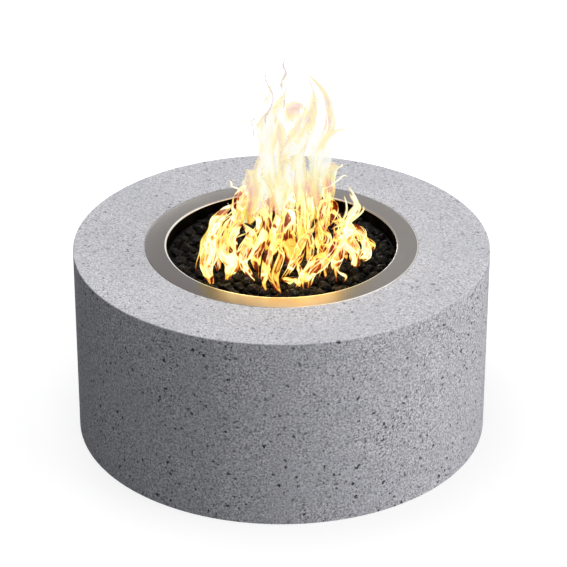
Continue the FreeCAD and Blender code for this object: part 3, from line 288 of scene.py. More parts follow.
lens = bpy.data.cameras.new("main_camera")
lens.sensor_width = 36
lens.lens = FOCAL_PX * lens.sensor_width / FRAME_PX
lens.shift_x = 0.0035
lens.shift_y = -0.0721
lens.clip_end = 60
camera = bpy.data.objects.new("main_camera", lens)
camera.location = (
    0,
    -CAMERA_DISTANCE * math.cos(CAMERA_TILT),
    RIM_Z + CAMERA_DISTANCE * math.sin(CAMERA_TILT),
)
camera.rotation_euler = (math.pi / 2 - CAMERA_TILT, 0, 0)
bpy.context.scene.collection.objects.link(camera)
bpy.context.scene.camera = camera
bpy.context.scene.view_settings.view_transform = "Standard"
print(f"camera at {[round(v, 2) for v in camera.location]}, lens {lens.lens:.1f} mm")

# %% [markdown]
# ## Floor, background and lamps
#
# The pit stands in a white studio. The white behind it comes from the background itself, seen
# by the camera and in reflections, so the lamps needn't be strong enough to burn the floor out.
# A big lamp at the right models the round wall from light to dark, and a weak one above keeps
# the top even.

# %% Background
def studio_sky():
    """White for the camera, metal and glass, and a weak cool fill for everything else."""
    sky = Sky("studio")
    fill = sky.node("ShaderNodeBackground", inputs=[(0.80, 0.88, 1.0, 1), 0.07])
    white = sky.node("ShaderNodeBackground", inputs=[(1, 1, 1, 1), 1.0])
    seen = sky.ray("Camera").largest(sky.ray("Glossy")).largest(sky.ray("Transmission"))
    return sky.done(sky.node("ShaderNodeMixShader", inputs=[seen, fill, white]))


bpy.context.scene.world = studio_sky()
print("background ready:", bpy.context.scene.world.name)


# %% Floor
def studio_floor():
    """White where the camera looks at it, darkened only a little by the pit's shadow."""
    finish = Finish("studio_floor")
    lit = finish.node("ShaderNodeBsdfDiffuse", inputs={"Color": (0.20, 0.20, 0.20, 1)})
    bright = finish.node("ShaderNodeBsdfDiffuse", inputs={"Color": (0.32, 0.32, 0.32, 1)})
    across, deep, _ = finish.parts(finish.place())
    away = (across * across + deep * deep) ** 0.5
    under = finish.ease(away, BODY_R - 0.09, BODY_R, 0.06, 1.0)
    level = finish.ease(away, BODY_R + 0.1, 1.7, 0.76, 1.0) * under
    glow = finish.node("ShaderNodeEmission", inputs=[finish.point(level, level, level)])
    shown = finish.node("ShaderNodeAddShader", inputs=[bright, glow])
    finish.done(finish.node("ShaderNodeMixShader", inputs=[finish.ray("Camera"), lit, shown]))
    half = 14
    corners = [(-half, -half, 0), (half, -half, 0), (half, half, 0), (-half, half, 0)]
    mesh = bpy.data.meshes.new("floor")
    mesh.from_pydata(corners, [], [(0, 1, 2, 3)])
    floor = add_piece("floor", mesh, finish.material)
    print(f"floor ready, {2 * half} m across")


studio_floor()


# %% Lamps
def soft_lamp(name, place, target, width, watts, colour=(1, 1, 1)):
    """A square softbox that faces a point."""
    lamp = bpy.data.lights.new(name, "AREA")
    lamp.shape = "SQUARE"
    lamp.size = width
    lamp.energy = watts
    lamp.color = colour
    holder = bpy.data.objects.new(name, lamp)
    holder.location = place
    toward = Vector(target) - Vector(place)
    holder.rotation_euler = toward.to_track_quat("-Z", "Y").to_euler()
    bpy.context.scene.collection.objects.link(holder)


middle = (0, 0, 0.3)
soft_lamp("key_right", (4.6, -1.5, 1.7), middle, 4.0, 192, (1.0, 0.985, 0.985))
soft_lamp("top", (-0.6, 0.2, 4.6), middle, 2.6, 140)
soft_lamp("front_fill", (1.5, -6.4, 1.2), middle, 2.4, 70, (0.97, 0.98, 1.0))
soft_lamp("rear_fill", (-1.6, 6.3, 0.9), middle, 1.6, 110)
print("lamps ready")


# %% [markdown]
# ## Cast concrete
#
# Cast glass-fibre concrete is pale grey, with a fine sandy grain and small holes that air left
# against the mould. The holes are painted dark, as painted shade inside them. The holes are
# irregular, come in loose clusters and are deeper on the wall than on the top, which was
# trowelled. A cell texture gives each hole its own place and size, and a warped lookup breaks up
# its round outline.

# %% Concrete
def concrete():
    """Sandy grey with air holes painted dark as shade, which the trowelled top has fewer of."""
    finish = Finish("cast_concrete")
    place = finish.place()
    top = finish.ease(finish.parts(place)[2], RIM_Z - 0.004, RIM_Z - 0.001)

    def pits(scale, keep, low, high, seed):
        """Irregular holes, one in some of the cells of a cell texture."""
        push = finish.grain(place, scale * 2.2).sibling("Color")
        bent = finish.vector("SUBTRACT", push, (0.5, 0.5, 0.5))
        bent = finish.stretch(bent, (0.95 / scale,) * 3)
        moved = finish.vector("ADD", finish.vector("ADD", place, bent), (seed,) * 3)
        away = finish.cells(moved, scale)
        chance, width, _ = finish.parts(away.sibling("Color"))
        size = width * (high - low) + low
        return finish.ease(size - away, 0.0, 0.04) * chance.over(1 - keep)

    crowd = finish.ease(finish.grain(place, 14, 1.0), 0.36, 0.56, 0.60, 1.0)
    large = pits(62, keep=0.74, low=0.10, high=0.30, seed=0.0)
    small = pits(140, keep=0.74, low=0.12, high=0.34, seed=3.1)
    pitted = large.largest(small * 0.8)
    pitted = pitted * crowd * (1 - top * 0.40)
    sand = finish.grain(place, 210, 3.0, 0.75)
    cloud = finish.grain(place, 5.5, 3.0)
    speck = finish.ease(sand, 0.34, 0.66)
    tone = finish.mix(speck, rgb(134, 134, 140), rgb(240, 239, 244))
    tone = finish.mix(top * 0.4, tone, rgb(198, 198, 204))
    tone = finish.mix(finish.ease(cloud, 0.35, 0.65, 0.0, 0.30), tone, rgb(184, 186, 194))
    # Painted shade: the air holes are darkened in colour, as the shade inside them.
    tone = finish.mix(pitted * 0.96, tone, rgb(42, 44, 50))
    height_map = sand * 0.45 - pitted + 1.0
    return finish.surface(
        Base_Color=tone,
        Roughness=0.86,
        Normal=finish.bump(height_map, 0.0028, 0.8),
    )


dress(concrete(), "concrete_shell")
print("concrete ready")

# %% [markdown]
# ## The spun steel pan
#
# The pan is pressed and spun from one sheet: a flat ring, a small rolled bend and a straight
# wall. CAD has the bend as a flat chamfer. Turning the same profile here with a true radius
# gives the thin bright line that a rolled edge catches. The outer edge is broken too, and both
# edges also get a painted highlight, brighter than the flat.

# %% A lathe for sheet metal
def finished_mesh(name, work, sharp):
    """A mesh that is smooth, but for edges that bend by more than this many degrees."""
    bmesh.ops.recalc_face_normals(work, faces=work.faces)
    mesh = mesh_of(name, work)
    mesh.shade_smooth()
    mesh.set_sharp_from_angle(angle=math.radians(sharp))
    return mesh


def rounded(corners, steps=6):
    """Corners of a profile as (r, z) or (r, z, radius), with each radius turned to points."""
    points = []
    count = len(corners)
    for index, corner in enumerate(corners):
        here = Vector(corner[:2])
        if len(corner) < 3:
            points.append(here)
            continue
        before = (Vector(corners[index - 1][:2]) - here).normalized()
        after = (Vector(corners[(index + 1) % count][:2]) - here).normalized()
        half = before.angle(after) / 2
        start = here + before * corner[2] / math.tan(half)
        end = here + after * corner[2] / math.tan(half)
        centre = here + (before + after).normalized() * corner[2] / math.sin(half)
        first, last = start - centre, end - centre
        for step in range(steps + 1):
            share = step / steps
            arm = first.lerp(last, share).normalized() * corner[2]
            points.append(centre + arm)
    return points


def lathe(name, corners, steps=192):
    """Turn a closed profile of (radius, height) about the pit's axis, and give its mesh."""
    work = bmesh.new()
    rings = []
    for radius, height in rounded(corners):
        if radius == 0:
            rings.append([work.verts.new((0, 0, height))] * steps)
            continue
        ring = []
        for step in range(steps):
            angle = 2 * math.pi * step / steps
            across, deep = radius * math.cos(angle), radius * math.sin(angle)
            ring.append(work.verts.new((across, deep, height)))
        rings.append(ring)
    for low, high in [*zip(rings, rings[1:]), (rings[-1], rings[0])]:
        for step in range(steps):
            after = (step + 1) % steps
            loop = list(dict.fromkeys([low[step], low[after], high[after], high[step]]))
            if len(loop) > 2:
                work.faces.new(loop)
    return finished_mesh(name, work, sharp=35)


print("lathe ready")


# %% Brushed steel and a black bowl
BEND_R = 0.004    # the rolled bend from the ring down into the bowl
EDGE_R = 0.0018   # the broken outer edge


def brushed_pan():
    """Circle-brushed steel, painted shade at the front left, painted highlights on both edges."""
    finish = Finish("brushed_pan")
    across, deep, height = finish.parts(finish.place())
    away = (across * across + deep * deep) ** 0.5
    turn = deep.maths("ARCTAN2", deep, across)
    streak = finish.grain_at(away * 900, turn * 5.0, height * 900, 3.0, 0.65)
    wide = finish.grain_at(away * 60, turn * 3.0, height * 60)
    steel = finish.mix(streak, rgb(112, 108, 105), rgb(142, 137, 133))
    steel = finish.mix(finish.ease(wide, 0.35, 0.65, 0, 0.35), steel, rgb(128, 121, 116))
    # Painted shade: the steel is darkened towards the front left.
    shaded_front_left = finish.ease(across + deep, 0.05, -0.42, 0.0, 0.82)
    steel = finish.mix(shaded_front_left, steel, rgb(86, 81, 79))
    # Painted highlight along the rolled inner edge, brightest at the front left.
    inner_edge_highlight = finish.ease(away, OPENING_R + BEND_R + 0.0012, OPENING_R + BEND_R)
    inner_edge_highlight = inner_edge_highlight * height.over(RIM_Z - 0.0026)
    inner_edge_highlight = inner_edge_highlight * finish.ease(across * 0.8 + deep, 0.15, -0.12, 0.10, 1.0)
    # Painted highlight along the outer edge, brightest towards the front right.
    outer_edge_highlight = finish.ease(away, RING_R - 0.0032, RING_R - 0.0016)
    outer_edge_highlight = outer_edge_highlight * finish.ease(across - deep * 0.4, 0.10, 0.34, 0.0, 0.8)
    steel = finish.mix(inner_edge_highlight.largest(outer_edge_highlight), steel, rgb(236, 233, 228))
    return finish.surface(
        Base_Color=steel,
        Metallic=1.0,
        Roughness=streak * 0.16 + 0.26,
        Normal=finish.bump(streak, 0.00012, 0.5),
    )


def bowl_black():
    """Dead black, a little browner in patches."""
    finish = Finish("bowl_black")
    place = finish.place()
    patch = finish.grain(place, 26, 3.0)
    dust = finish.grain(place, 600, 2.0)
    tone = finish.mix(finish.ease(patch, 0.35, 0.7), rgb(9, 8, 8), rgb(26, 22, 19))
    return finish.surface(
        Base_Color=tone,
        Specular_IOR_Level=0.0,
        Roughness=finish.ease(dust, 0.2, 0.8, 0.72, 0.95),
        Normal=finish.bump(dust, 0.0003, 0.6),
    )


def spun_pan():
    """The whole pan, near-black on the faces inside the bowl."""
    low = PAN_LOW.z
    mesh = lathe("spun_pan", [
        (RING_R, RIM_Z, EDGE_R),
        (OPENING_R, RIM_Z, BEND_R),
        (OPENING_R, low + SHEET, 0.003),
        (0, low + SHEET),
        (0, low),
        (OPENING_R + SHEET, low, 0.004),
        (OPENING_R + SHEET, RIM_Z - SHEET, 0.002),
        (RING_R, RIM_Z - SHEET),
    ])
    pan = add_piece("spun_pan", mesh, brushed_pan(), bowl_black())
    for face in mesh.polygons:
        reach = math.hypot(face.center.x, face.center.y)
        in_bowl = reach < OPENING_R + 0.0008 and low + 0.001 < face.center.z < RIM_Z - 0.0045
        face.material_index = 1 if in_bowl else 0
    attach(pan, "pit")
    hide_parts("burner_pan")
    print("pan faces:", len(mesh.polygons))


spun_pan()

# %% [markdown]
# ## Lava rock
#
# Crushed lava is angular, dull black and full of small gas holes. Each lump is the hull of a
# few random points near a ball, which gives it flat broken faces and sharp corners, and its
# finish adds the grit and the holes. The lumps lie in two loose layers, so dark gaps show between
# them. One bare spot is left for the pilot.

# %% Rock finish
def lava_rock():
    """Dull black with paler grit and flecks, and small gas holes painted darker as shade."""
    finish = Finish("lava_rock")
    place = finish.place()
    blotch = finish.grain(place, 55, 3.0)
    grit = finish.grain(place, 480, 3.0, 0.7)
    vesicle = finish.ease(finish.cells(place, 330), 0.34, 0.18)
    fleck = finish.ease(finish.grain(place, 170, 2.0), 0.60, 0.72)
    tone = finish.mix(blotch, rgb(3, 3, 3), rgb(16, 15, 14))
    tone = finish.mix(grit * 0.25, tone, rgb(38, 36, 34))
    tone = finish.mix(fleck * 0.7, tone, rgb(102, 99, 97))
    # Painted shade: the gas holes are darkened in colour.
    tone = finish.mix(vesicle * 0.8, tone, rgb(4, 4, 4))
    return finish.surface(
        Base_Color=tone,
        Specular_IOR_Level=0.08,
        Roughness=finish.ease(grit, 0.2, 0.8, 0.42, 0.76),
        Normal=finish.bump(grit * 0.5 - vesicle + 1.0, 0.0014, 0.9),
    )


LAVA = lava_rock()
dress(LAVA, "lava_rock_bed", "lava_rock_lumps")
print("rock finish ready")


# %% Rock pile
PILOT_LOW, PILOT_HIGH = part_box("pilot_shield")
POINTS_PER_ROCK = 17
GOLDEN_ANGLE = 2.4   # spreads points evenly over a ball, in radians
TRIES_PER_SIZE = 1300
CORNER_ROOM = 1.22   # how far a lump's corners may stand out, with some to spare
BELOW_RIM = 0.009


def add_rock(work, centre, reach, squat, rng):
    """One lump: the hull of a few points near a ball, which breaks it into flat faces."""
    spin = Matrix.Rotation(rng.uniform(0, 6.28), 3, "Z")
    turn = spin @ Matrix.Rotation(rng.uniform(-0.5, 0.5), 3, "X")
    long = rng.uniform(0.78, 1.0)
    points = []
    for index in range(POINTS_PER_ROCK):
        rise = 1 - 2 * (index + 0.5) / POINTS_PER_ROCK
        angle = GOLDEN_ANGLE * index + rng.uniform(-0.5, 0.5)
        flat = math.sqrt(1 - rise * rise)
        out = reach * rng.uniform(0.80, 1.10)
        shape = Vector((flat * math.cos(angle) * long, flat * math.sin(angle), rise * squat)) * out
        points.append(work.verts.new(turn @ shape + centre))
    hull = bmesh.ops.convex_hull(work, input=points)
    inside = [item for item in hull["geom_interior"] if isinstance(item, bmesh.types.BMVert)]
    bmesh.ops.delete(work, geom=inside, context="VERTS")


def near_pilot(x, y, reach):
    beside = PILOT_LOW.x - reach - 0.004 < x < PILOT_HIGH.x + reach + 0.004
    return beside and y > PILOT_LOW.y - reach - 0.012


def rock_pile():
    """Two layers of lumps, the large ones first, then smaller ones where there is room."""
    rng = random.Random(11)
    work = bmesh.new()
    count = 0
    limit = OPENING_R - 0.0015
    for layer_z, gap, sizes in (
        (BED_Z + 0.0015, 0.74, (0.017, 0.014, 0.011)),
        (BED_Z + 0.0095, 0.98, (0.019, 0.015, 0.012, 0.009)),
    ):
        taken = []
        for reach in sizes:
            for _ in range(TRIES_PER_SIZE):
                x, y = rng.uniform(-limit, limit), rng.uniform(-limit, limit)
                if math.hypot(x, y) + reach * CORNER_ROOM > limit or near_pilot(x, y, reach):
                    continue
                if any(math.hypot(x - a, y - b) < (reach + c) * gap for a, b, c in taken):
                    continue
                taken.append((x, y, reach))
                z = min(layer_z + rng.uniform(-0.003, 0.003), RIM_Z - BELOW_RIM - reach)
                add_rock(work, Vector((x, y, z)), reach, rng.uniform(0.65, 0.95), rng)
                count += 1
    mesh = mesh_of("lava_rock_pile", work)
    pile = add_piece("lava_rock_pile", mesh, LAVA)
    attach(pile, "pit")
    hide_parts("lava_rock_lumps")
    print("lava rocks:", count, "faces:", len(mesh.polygons))


rock_pile()

# %% [markdown]
# ## Steel, iron and brass under the pan
#
# The gas train is seen only from below or through the rear recess, but each metal still has its
# own finish: heat has browned the burner, the pipe fittings are black iron, and the flare
# fittings are turned brass.


# %% Metals
def worked_metal(name, dark, light, rough, scale, depth, metallic=1.0, stretch=(1, 1, 1)):
    """A metal with cloudy tone, fine tool marks and uneven shine."""
    finish = Finish(name)
    place = finish.stretch(finish.place(), stretch)
    cloud = finish.grain(place, 35, 3.0)
    marks = finish.grain(place, scale, 3.0, 0.7)
    tone = finish.mix(finish.ease(cloud, 0.3, 0.7), rgb(*dark), rgb(*light))
    tone = finish.mix(marks * 0.25, tone, rgb(*light))
    return finish.surface(
        Base_Color=tone,
        Metallic=metallic,
        Roughness=finish.ease(marks, 0.2, 0.8, rough - 0.08, rough + 0.12),
        Normal=finish.bump(marks, depth, 0.6),
    )


dress(worked_metal("heated_steel", (74, 62, 54), (122, 104, 92), 0.48, 420, 0.0003),
      "ring_burner", "burner_stands", "pilot_bracket", "pilot_shield", "spark_electrode",
      "thermocouple_probe")
dress(worked_metal("black_iron", (26, 26, 28), (52, 52, 54), 0.62, 300, 0.0006, metallic=0.6),
      "supply_nipple", "pan_lock_nut", "pan_top_nut", "burner_elbow")
dress(worked_metal("turned_brass", (168, 132, 66), (204, 170, 96), 0.32, 900, 0.0001),
      "orifice_fitting", "flare_nuts", "valve_plug", "inlet_elbow", "inlet_lock_nut",
      "thermocouple_nut", "thermocouple_lead")
dress(worked_metal("cast_aluminium", (136, 138, 140), (176, 178, 180), 0.50, 260, 0.0006),
      "safety_valve", "air_mixer")
dress(worked_metal("zinc_plate", (150, 152, 150), (190, 192, 188), 0.34, 500, 0.0002),
      "inlet_bracket", "igniter_nut", "knob_bezel", "igniter_terminals")
dress(worked_metal("screw_steel", (158, 158, 158), (200, 200, 200), 0.30, 700, 0.0001),
      "vent_grille_screws", "control_plate_screws", "valve_screws", "inlet_bracket_screws",
      "pilot_screws", "valve_stem")
SPRING_STEEL = worked_metal("spring_steel", (120, 120, 126), (166, 166, 172), 0.30, 800, 0.0001)
dress(SPRING_STEEL, "valve_return_spring", "igniter_spring")
dress(worked_metal("brushed_plate", (146, 142, 138), (182, 178, 174), 0.36, 320, 0.0002,
                   stretch=(0.05, 0.05, 4)),
      "control_plate", "vent_grille_left", "vent_grille_right")
print("metals ready")


# %% [markdown]
# ## Two coil springs
#
# One spring pushes the valve's stem out and the other the igniter's button. A spring isn't rigid:
# one end stays and the other moves. Each is wound here as a round wire on a helix and rides on
# the pit. Flattened end turns are left out, because both ends are hidden in their seats.

# %% Coil springs
def coil_spring(name, node, wire_r, turns):
    """A wire wound between the ends of the CAD spring."""
    low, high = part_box(node)
    middle_x, middle_z = (low.x + high.x) / 2, (low.z + high.z) / 2
    coil_r = (high.x - low.x) / 2 - wire_r
    start, rise = low.y + wire_r, high.y - low.y - 2 * wire_r
    steps, sides = 28 * turns, 10
    slope = rise / turns / (2 * math.pi * coil_r)
    work = bmesh.new()
    hoops = []
    for step in range(steps + 1):
        share = step / steps
        turn = 2 * math.pi * turns * share
        outward = Vector((math.cos(turn), 0, math.sin(turn)))
        along = Vector((-math.sin(turn), slope, math.cos(turn))).normalized()
        upward = outward.cross(along)
        centre = Vector((middle_x, start + rise * share, middle_z)) + outward * coil_r
        hoop = []
        for side in range(sides):
            around = 2 * math.pi * side / sides
            push = outward * math.cos(around) + upward * math.sin(around)
            hoop.append(work.verts.new(centre + push * wire_r))
        hoops.append(hoop)
    for first, second in zip(hoops, hoops[1:]):
        for side in range(sides):
            beside = (side + 1) % sides
            work.faces.new((first[side], first[beside], second[beside], second[side]))
    work.faces.new(reversed(hoops[0]))
    work.faces.new(hoops[-1])
    mesh = finished_mesh(name, work, sharp=50)
    spring = add_piece(name, mesh, SPRING_STEEL)
    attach(spring, "pit")
    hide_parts(node)
    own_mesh(spring)


coil_spring("stem_spring", "valve_return_spring", 0.00055, 3)
coil_spring("button_spring", "igniter_spring", 0.00045, 4)

# %% [markdown]
# ## Corrugated hose
#
# A flexible gas line is a thin steel bellows. Its rings are too fine to be worth real geometry,
# so they are a wave along the height of the line, which runs mostly up or straight back. The
# wave bumps the steel and also paints its troughs darker and its crests lighter, as painted
# shade and painted highlight.

# %% Hose
RING_PITCH = 0.0042


def corrugated_hose(name, axis):
    """Steel whose rings follow each other along this axis: 0, 1 or 2 for X, Y or Z."""
    finish = Finish(name)
    along = finish.parts(finish.place())[axis] * (2 * math.pi / RING_PITCH)
    rings = along.maths("SINE", along) * 0.5 + 0.5
    # Painted shade and highlight: the troughs of the rings are darker, the crests lighter.
    tone = finish.mix(rings, rgb(84, 84, 86), rgb(168, 168, 170))
    return finish.surface(
        Base_Color=tone,
        Metallic=1.0,
        Roughness=0.34 + finish.grain(finish.place(), 200) * 0.1,
        Normal=finish.bump(rings, 0.0012, 0.9),
    )


dress(corrugated_hose("hose_upright", 2), "inlet_gas_line")
dress(corrugated_hose("hose_level", 1), "burner_gas_line")
print("hoses ready")


# %% [markdown]
# ## Plastic, ceramic and wire
#
# The knob and the igniter are moulded black plastic with a fine etched grain. The insulator is
# fired ceramic, slightly mottled by heat, and the spark lead has a silicone jacket.

# %% Plastics, ceramic and leads
def moulded(name, dark, light, rough, scale, depth, coat=0.0, painted=None):
    """A smooth moulded or fired skin with a fine etch, and white paint where painted says."""
    finish = Finish(name)
    place = finish.place()
    etch = finish.grain(place, scale, 2.0, 0.6)
    cloud = finish.grain(place, 60, 2.0)
    tone = finish.mix(etch * 0.5 + cloud * 0.5, rgb(*dark), rgb(*light))
    if painted:
        tone = finish.mix(painted(finish), tone, rgb(226, 224, 218))
    return finish.surface(
        Base_Color=tone,
        Roughness=finish.ease(etch, 0.2, 0.8, rough - 0.06, rough + 0.1),
        Coat_Weight=coat,
        Normal=finish.bump(etch, depth, 0.5),
    )


def pointer_groove(finish):
    """The paint in the knob's groove, 2.9 to 12.1 mm under its middle and 2 mm wide."""
    low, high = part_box("control_knob")
    across, _, height = finish.parts(finish.place())
    beside = across - (low.x + high.x) / 2
    below = (low.z + high.z) / 2 - height
    line = finish.ease(beside * beside, 0.0011 ** 2, 0.0008 ** 2)
    return line * below.over(0.0029) * below.under(0.0121)


dress(moulded("black_plastic", (14, 14, 15), (34, 34, 36), 0.42, 1400, 0.00012),
      "igniter_housing", "igniter_button")
dress(moulded("knob_plastic", (14, 14, 15), (34, 34, 36), 0.42, 1400, 0.00012,
              painted=pointer_groove), "control_knob")
dress(moulded("fired_ceramic", (214, 208, 198), (240, 237, 230), 0.30, 700, 0.0001, coat=0.3),
      "electrode_insulator")
dress(moulded("silicone_jacket", (112, 28, 22), (150, 44, 34), 0.60, 900, 0.0001), "spark_lead")
dress(moulded("battery_wrap", (56, 62, 70), (78, 84, 92), 0.28, 1200, 0.00005, coat=0.4),
      "igniter_battery")
print("plastics ready")

# %% [markdown]
# ## The flame
#
# A gas flame has no surface. What the eye reads is a net of thin bright threads where the hot
# gas is thickest, with dim red gas between them, and high up they melt into pale torn sheets.
# So three kinds of strip are used: narrow threads that are bright along the middle, broad lobes
# that carry the dim glow behind them, and torn sheets for the top. A few wisps of smoke stand
# over the tips. All are transparent strips that only give off light, so each lets the ones
# behind it through, as real flames do. The flame is staging: it isn't a piece of the pit.

# %% Flame finishes
FLAME_MIDDLE_X = -0.005

# Colours from the cool edge of a thread to its hot middle, low in the flame and then high up.
HOT = [
    (0.00, (0.16, 0.010, 0.004)),
    (0.18, (0.62, 0.060, 0.010)),
    (0.32, (0.98, 0.30, 0.040)),
    (0.44, (1.00, 0.56, 0.070)),
    (0.58, (1.00, 0.80, 0.160)),
    (0.76, (1.00, 0.93, 0.330)),
    (0.96, (1.00, 1.00, 0.720)),
]
PALE = [
    (0.00, (0.74, 0.54, 0.56)),
    (0.20, (0.94, 0.68, 0.58)),
    (0.40, (0.98, 0.86, 0.50)),
    (0.62, (0.99, 0.94, 0.56)),
    (0.88, (1.00, 1.00, 0.94)),
]


def strip_places(finish):
    """Where a point is on its strip: across, along and seed, and then side, fade and height."""
    flow = finish.node("ShaderNodeAttribute", {"attribute_name": "flow"}, output="Vector")
    shape = finish.node("ShaderNodeAttribute", {"attribute_name": "shape"}, output="Vector")
    side, fade, _ = finish.parts(shape)
    return [*finish.parts(flow), side, fade, finish.parts(finish.place())[2]]


def give_light(finish, colour, cover, strength):
    """Light of its own, with this much of what lies behind it covered.

    A flame is far brighter than white paper, which a picture can't show but a reflection can.
    So its middle is brighter and more orange in the steel than where it is seen directly.
    """
    off_middle = (finish.parts(finish.place())[0] - FLAME_MIDDLE_X).absolute()
    extra = finish.ray("Glossy") * finish.ease(off_middle, 0.18, 0.09, 0.0, 6.0)
    lift = finish.point(extra + strength, extra * 0.84 + strength, extra * 0.66 + strength)
    glow = finish.node("ShaderNodeEmission", inputs=[finish.stretch(colour, lift)])
    clear = finish.node("ShaderNodeBsdfTransparent")
    material = finish.done(finish.node("ShaderNodeMixShader", inputs=[cover, clear, glow]))
    material.cycles.emission_sampling = "NONE"
    return material


def flame_colour(finish, heat, high):
    return finish.mix(high, finish.ramp(heat, HOT), finish.ramp(heat, PALE))


def thread_finish():
    """A thread: white hot along the middle, orange and then red towards its edges."""
    finish = Finish("flame_thread")
    across, along, seed, side, fade, height = strip_places(finish)
    belly = (1 - side * side) ** 1.4
    patchy = finish.grain_at(seed * 3.7, along * 34, across * 40)
    high = finish.ease(height, RIM_Z + 0.09, RIM_Z + 0.25)
    heat = belly * fade * (patchy * 1.2 + 0.24)
    colour = flame_colour(finish, heat, high)
    return give_light(finish, colour, finish.ease(heat, 0.0, 0.70) * (0.74 - high * 0.2), 1.42)


def net_of_lines(finish, across, along, seed, side, cells, stretch):
    """A net of lines with gaps drawn out along the flow, and a line along each ragged edge."""
    sway = finish.grain_at(across * 22, along * 16, seed)
    drift = finish.grain_at(across * 22, along * 16, seed + 9.0)
    place = finish.point(across * cells + sway * 3.4, along * stretch + drift * 2.2, seed * 1.7)
    lines = finish.ease(finish.cells(place, 1.0, "DISTANCE_TO_EDGE"), 0.19, 0.05)
    off_edge = ((side + (sway - 0.5) * 1.1).absolute() - 0.66).absolute()
    return lines.largest(finish.ease(off_edge, 0.20, 0.03))


def lobe_finish():
    """A lobe of gas: dim red inside, with a net of bright lines that follows its flow."""
    finish = Finish("flame_lobe")
    across, along, seed, side, fade, height = strip_places(finish)
    net = net_of_lines(finish, across, along, seed, side, 30, 18)
    torn = finish.grain_at(across * 32, along * 18, seed * 3.1)
    glow = finish.grain_at(across * 24, along * 14, seed * 2.3, 1.0)
    glow = finish.ease(glow + (fade - 1) * 0.35, 0.40, 0.64)
    high = finish.ease(height, RIM_Z + 0.09, RIM_Z + 0.24)
    belly = 1 - side * side
    inside = finish.ease(belly * 0.9 + fade * 0.5 - torn * 1.7, 0.0, 0.22)
    heat = inside * (net * (glow * 0.34 + 0.40) + glow * 0.10 + high * 0.30 + 0.07)
    colour = flame_colour(finish, heat, high)
    cover = finish.ease(heat, 0.0, 0.66) * 0.58 + inside * 0.24
    return give_light(finish, colour, cover, 1.5)


def sheet_finish():
    """A torn sheet high in the flame: pale yellow, thin and pinkish where it tears."""
    finish = Finish("flame_sheet")
    across, along, seed, side, fade, height = strip_places(finish)
    net = net_of_lines(finish, across, along, seed, side, 34, 11)
    torn = finish.grain_at(across * 40, along * 44, seed * 3.1, 4.0, 0.6)
    glow = finish.grain_at(across * 36, along * 9, seed * 2.3, 1.0)
    glow = finish.ease(glow, 0.30, 0.68)
    belly = 1 - side * side
    inside = finish.ease(belly * 0.8 + fade * 0.95 - torn * 2.05, 0.0, 0.20)
    heat = inside * (net * 0.16 + glow * 0.66 + 0.14)
    high = finish.ease(height, RIM_Z + 0.07, RIM_Z + 0.22)
    colour = flame_colour(finish, heat, high)
    return give_light(finish, colour, finish.ease(inside, 0.0, 0.50) * 0.80, 1.0)


def wisp_finish():
    """A wisp of smoke: a thin grey line that comes and goes."""
    finish = Finish("smoke_wisp")
    across, along, seed, side, fade, _ = strip_places(finish)
    patchy = finish.grain_at(seed * 3.7, along * 40, across * 60)
    thick = (1 - side * side) * fade * finish.ease(patchy, 0.34, 0.60)
    colour = finish.mix(patchy, rgb(206, 198, 204), rgb(234, 212, 208))
    return give_light(finish, colour, finish.ease(thick, 0.0, 0.8) * 0.75, 1.0)


THREAD, LOBE, TORN_SHEET, WISP = range(4)
FLAME_FINISHES = [thread_finish(), lobe_finish(), sheet_finish(), wisp_finish()]
print("flame finishes:", [finish.name for finish in FLAME_FINISHES])


# %% Strips of flame
def smooth_line(points, steps):
    """Points along a smooth curve through the given ones."""
    line = []
    padded = [points[0] * 2 - points[1], *points, points[-1] * 2 - points[-2]]
    spans = len(points) - 1
    for step in range(steps + 1):
        where = step / steps * spans
        span = min(int(where), spans - 1)
        t = where - span
        a, b, c, d = padded[span:span + 4]
        line.append(0.5 * (2 * b + (c - a) * t + (2 * a - 5 * b + 4 * c - d) * t * t
                           + (3 * b - a - 3 * c + d) * t ** 3))
    return line


def wander(line, seed, reach):
    """Push a line about with noise, a little less at its foot than at its tip."""
    moved = []
    for index, here in enumerate(line):
        grow = 0.6 + 0.4 * index / len(line)
        push = noise.noise_vector(Vector((seed * 0.7, index * 0.16, seed * 0.31)))
        moved.append(here + Vector((push.x, push.y, push.z * 0.4)) * reach * grow)
    return moved


def add_blade(work, layers, line, widths, fades, facing, seed, kind, slim):
    """A curved strip along a line, with its flow and its shape written on the points."""
    flow, shape = layers
    columns = 4 if kind in (THREAD, WISP) else 6
    rows = []
    travelled = 0.0
    for index, here in enumerate(line):
        ahead = (line[min(index + 1, len(line) - 1)] - line[max(index - 1, 0)]).normalized()
        if index:
            travelled += (here - line[index - 1]).length
        across = ahead.cross(facing).normalized()
        bulge = across.cross(ahead)
        share = index / (len(line) - 1)
        width = widths(share) * slim
        row = []
        for column in range(columns + 1):
            side = 2 * column / columns - 1
            wave = 0.25 * math.sin(9 * share + seed + 2 * side)
            point = here + across * side * width + bulge * width * ((1 - side * side) * 0.5 + wave)
            vert = work.verts.new(point)
            vert[flow] = Vector((side * width, travelled, seed))
            vert[shape] = Vector((side, fades(share), 0))
            row.append(vert)
        rows.append(row)
    for low, high in zip(rows, rows[1:]):
        for column in range(columns):
            corners = (low[column], low[column + 1], high[column + 1], high[column])
            work.faces.new(corners).material_index = kind


def add_crossed(work, layers, line, widths, fades, seed, kind):
    """Two blades on one line, so that it shows from every side."""
    outward = Vector((line[0].x, line[0].y, 0.02)).normalized()
    spin = 0.5 * math.sin(seed * 5.1)
    for turn, slim in ((spin, 1.0), (spin + 1.45, 0.5)):
        facing = Matrix.Rotation(turn, 3, "Z") @ outward
        add_blade(work, layers, line, widths, fades, facing, seed + turn, kind, slim)


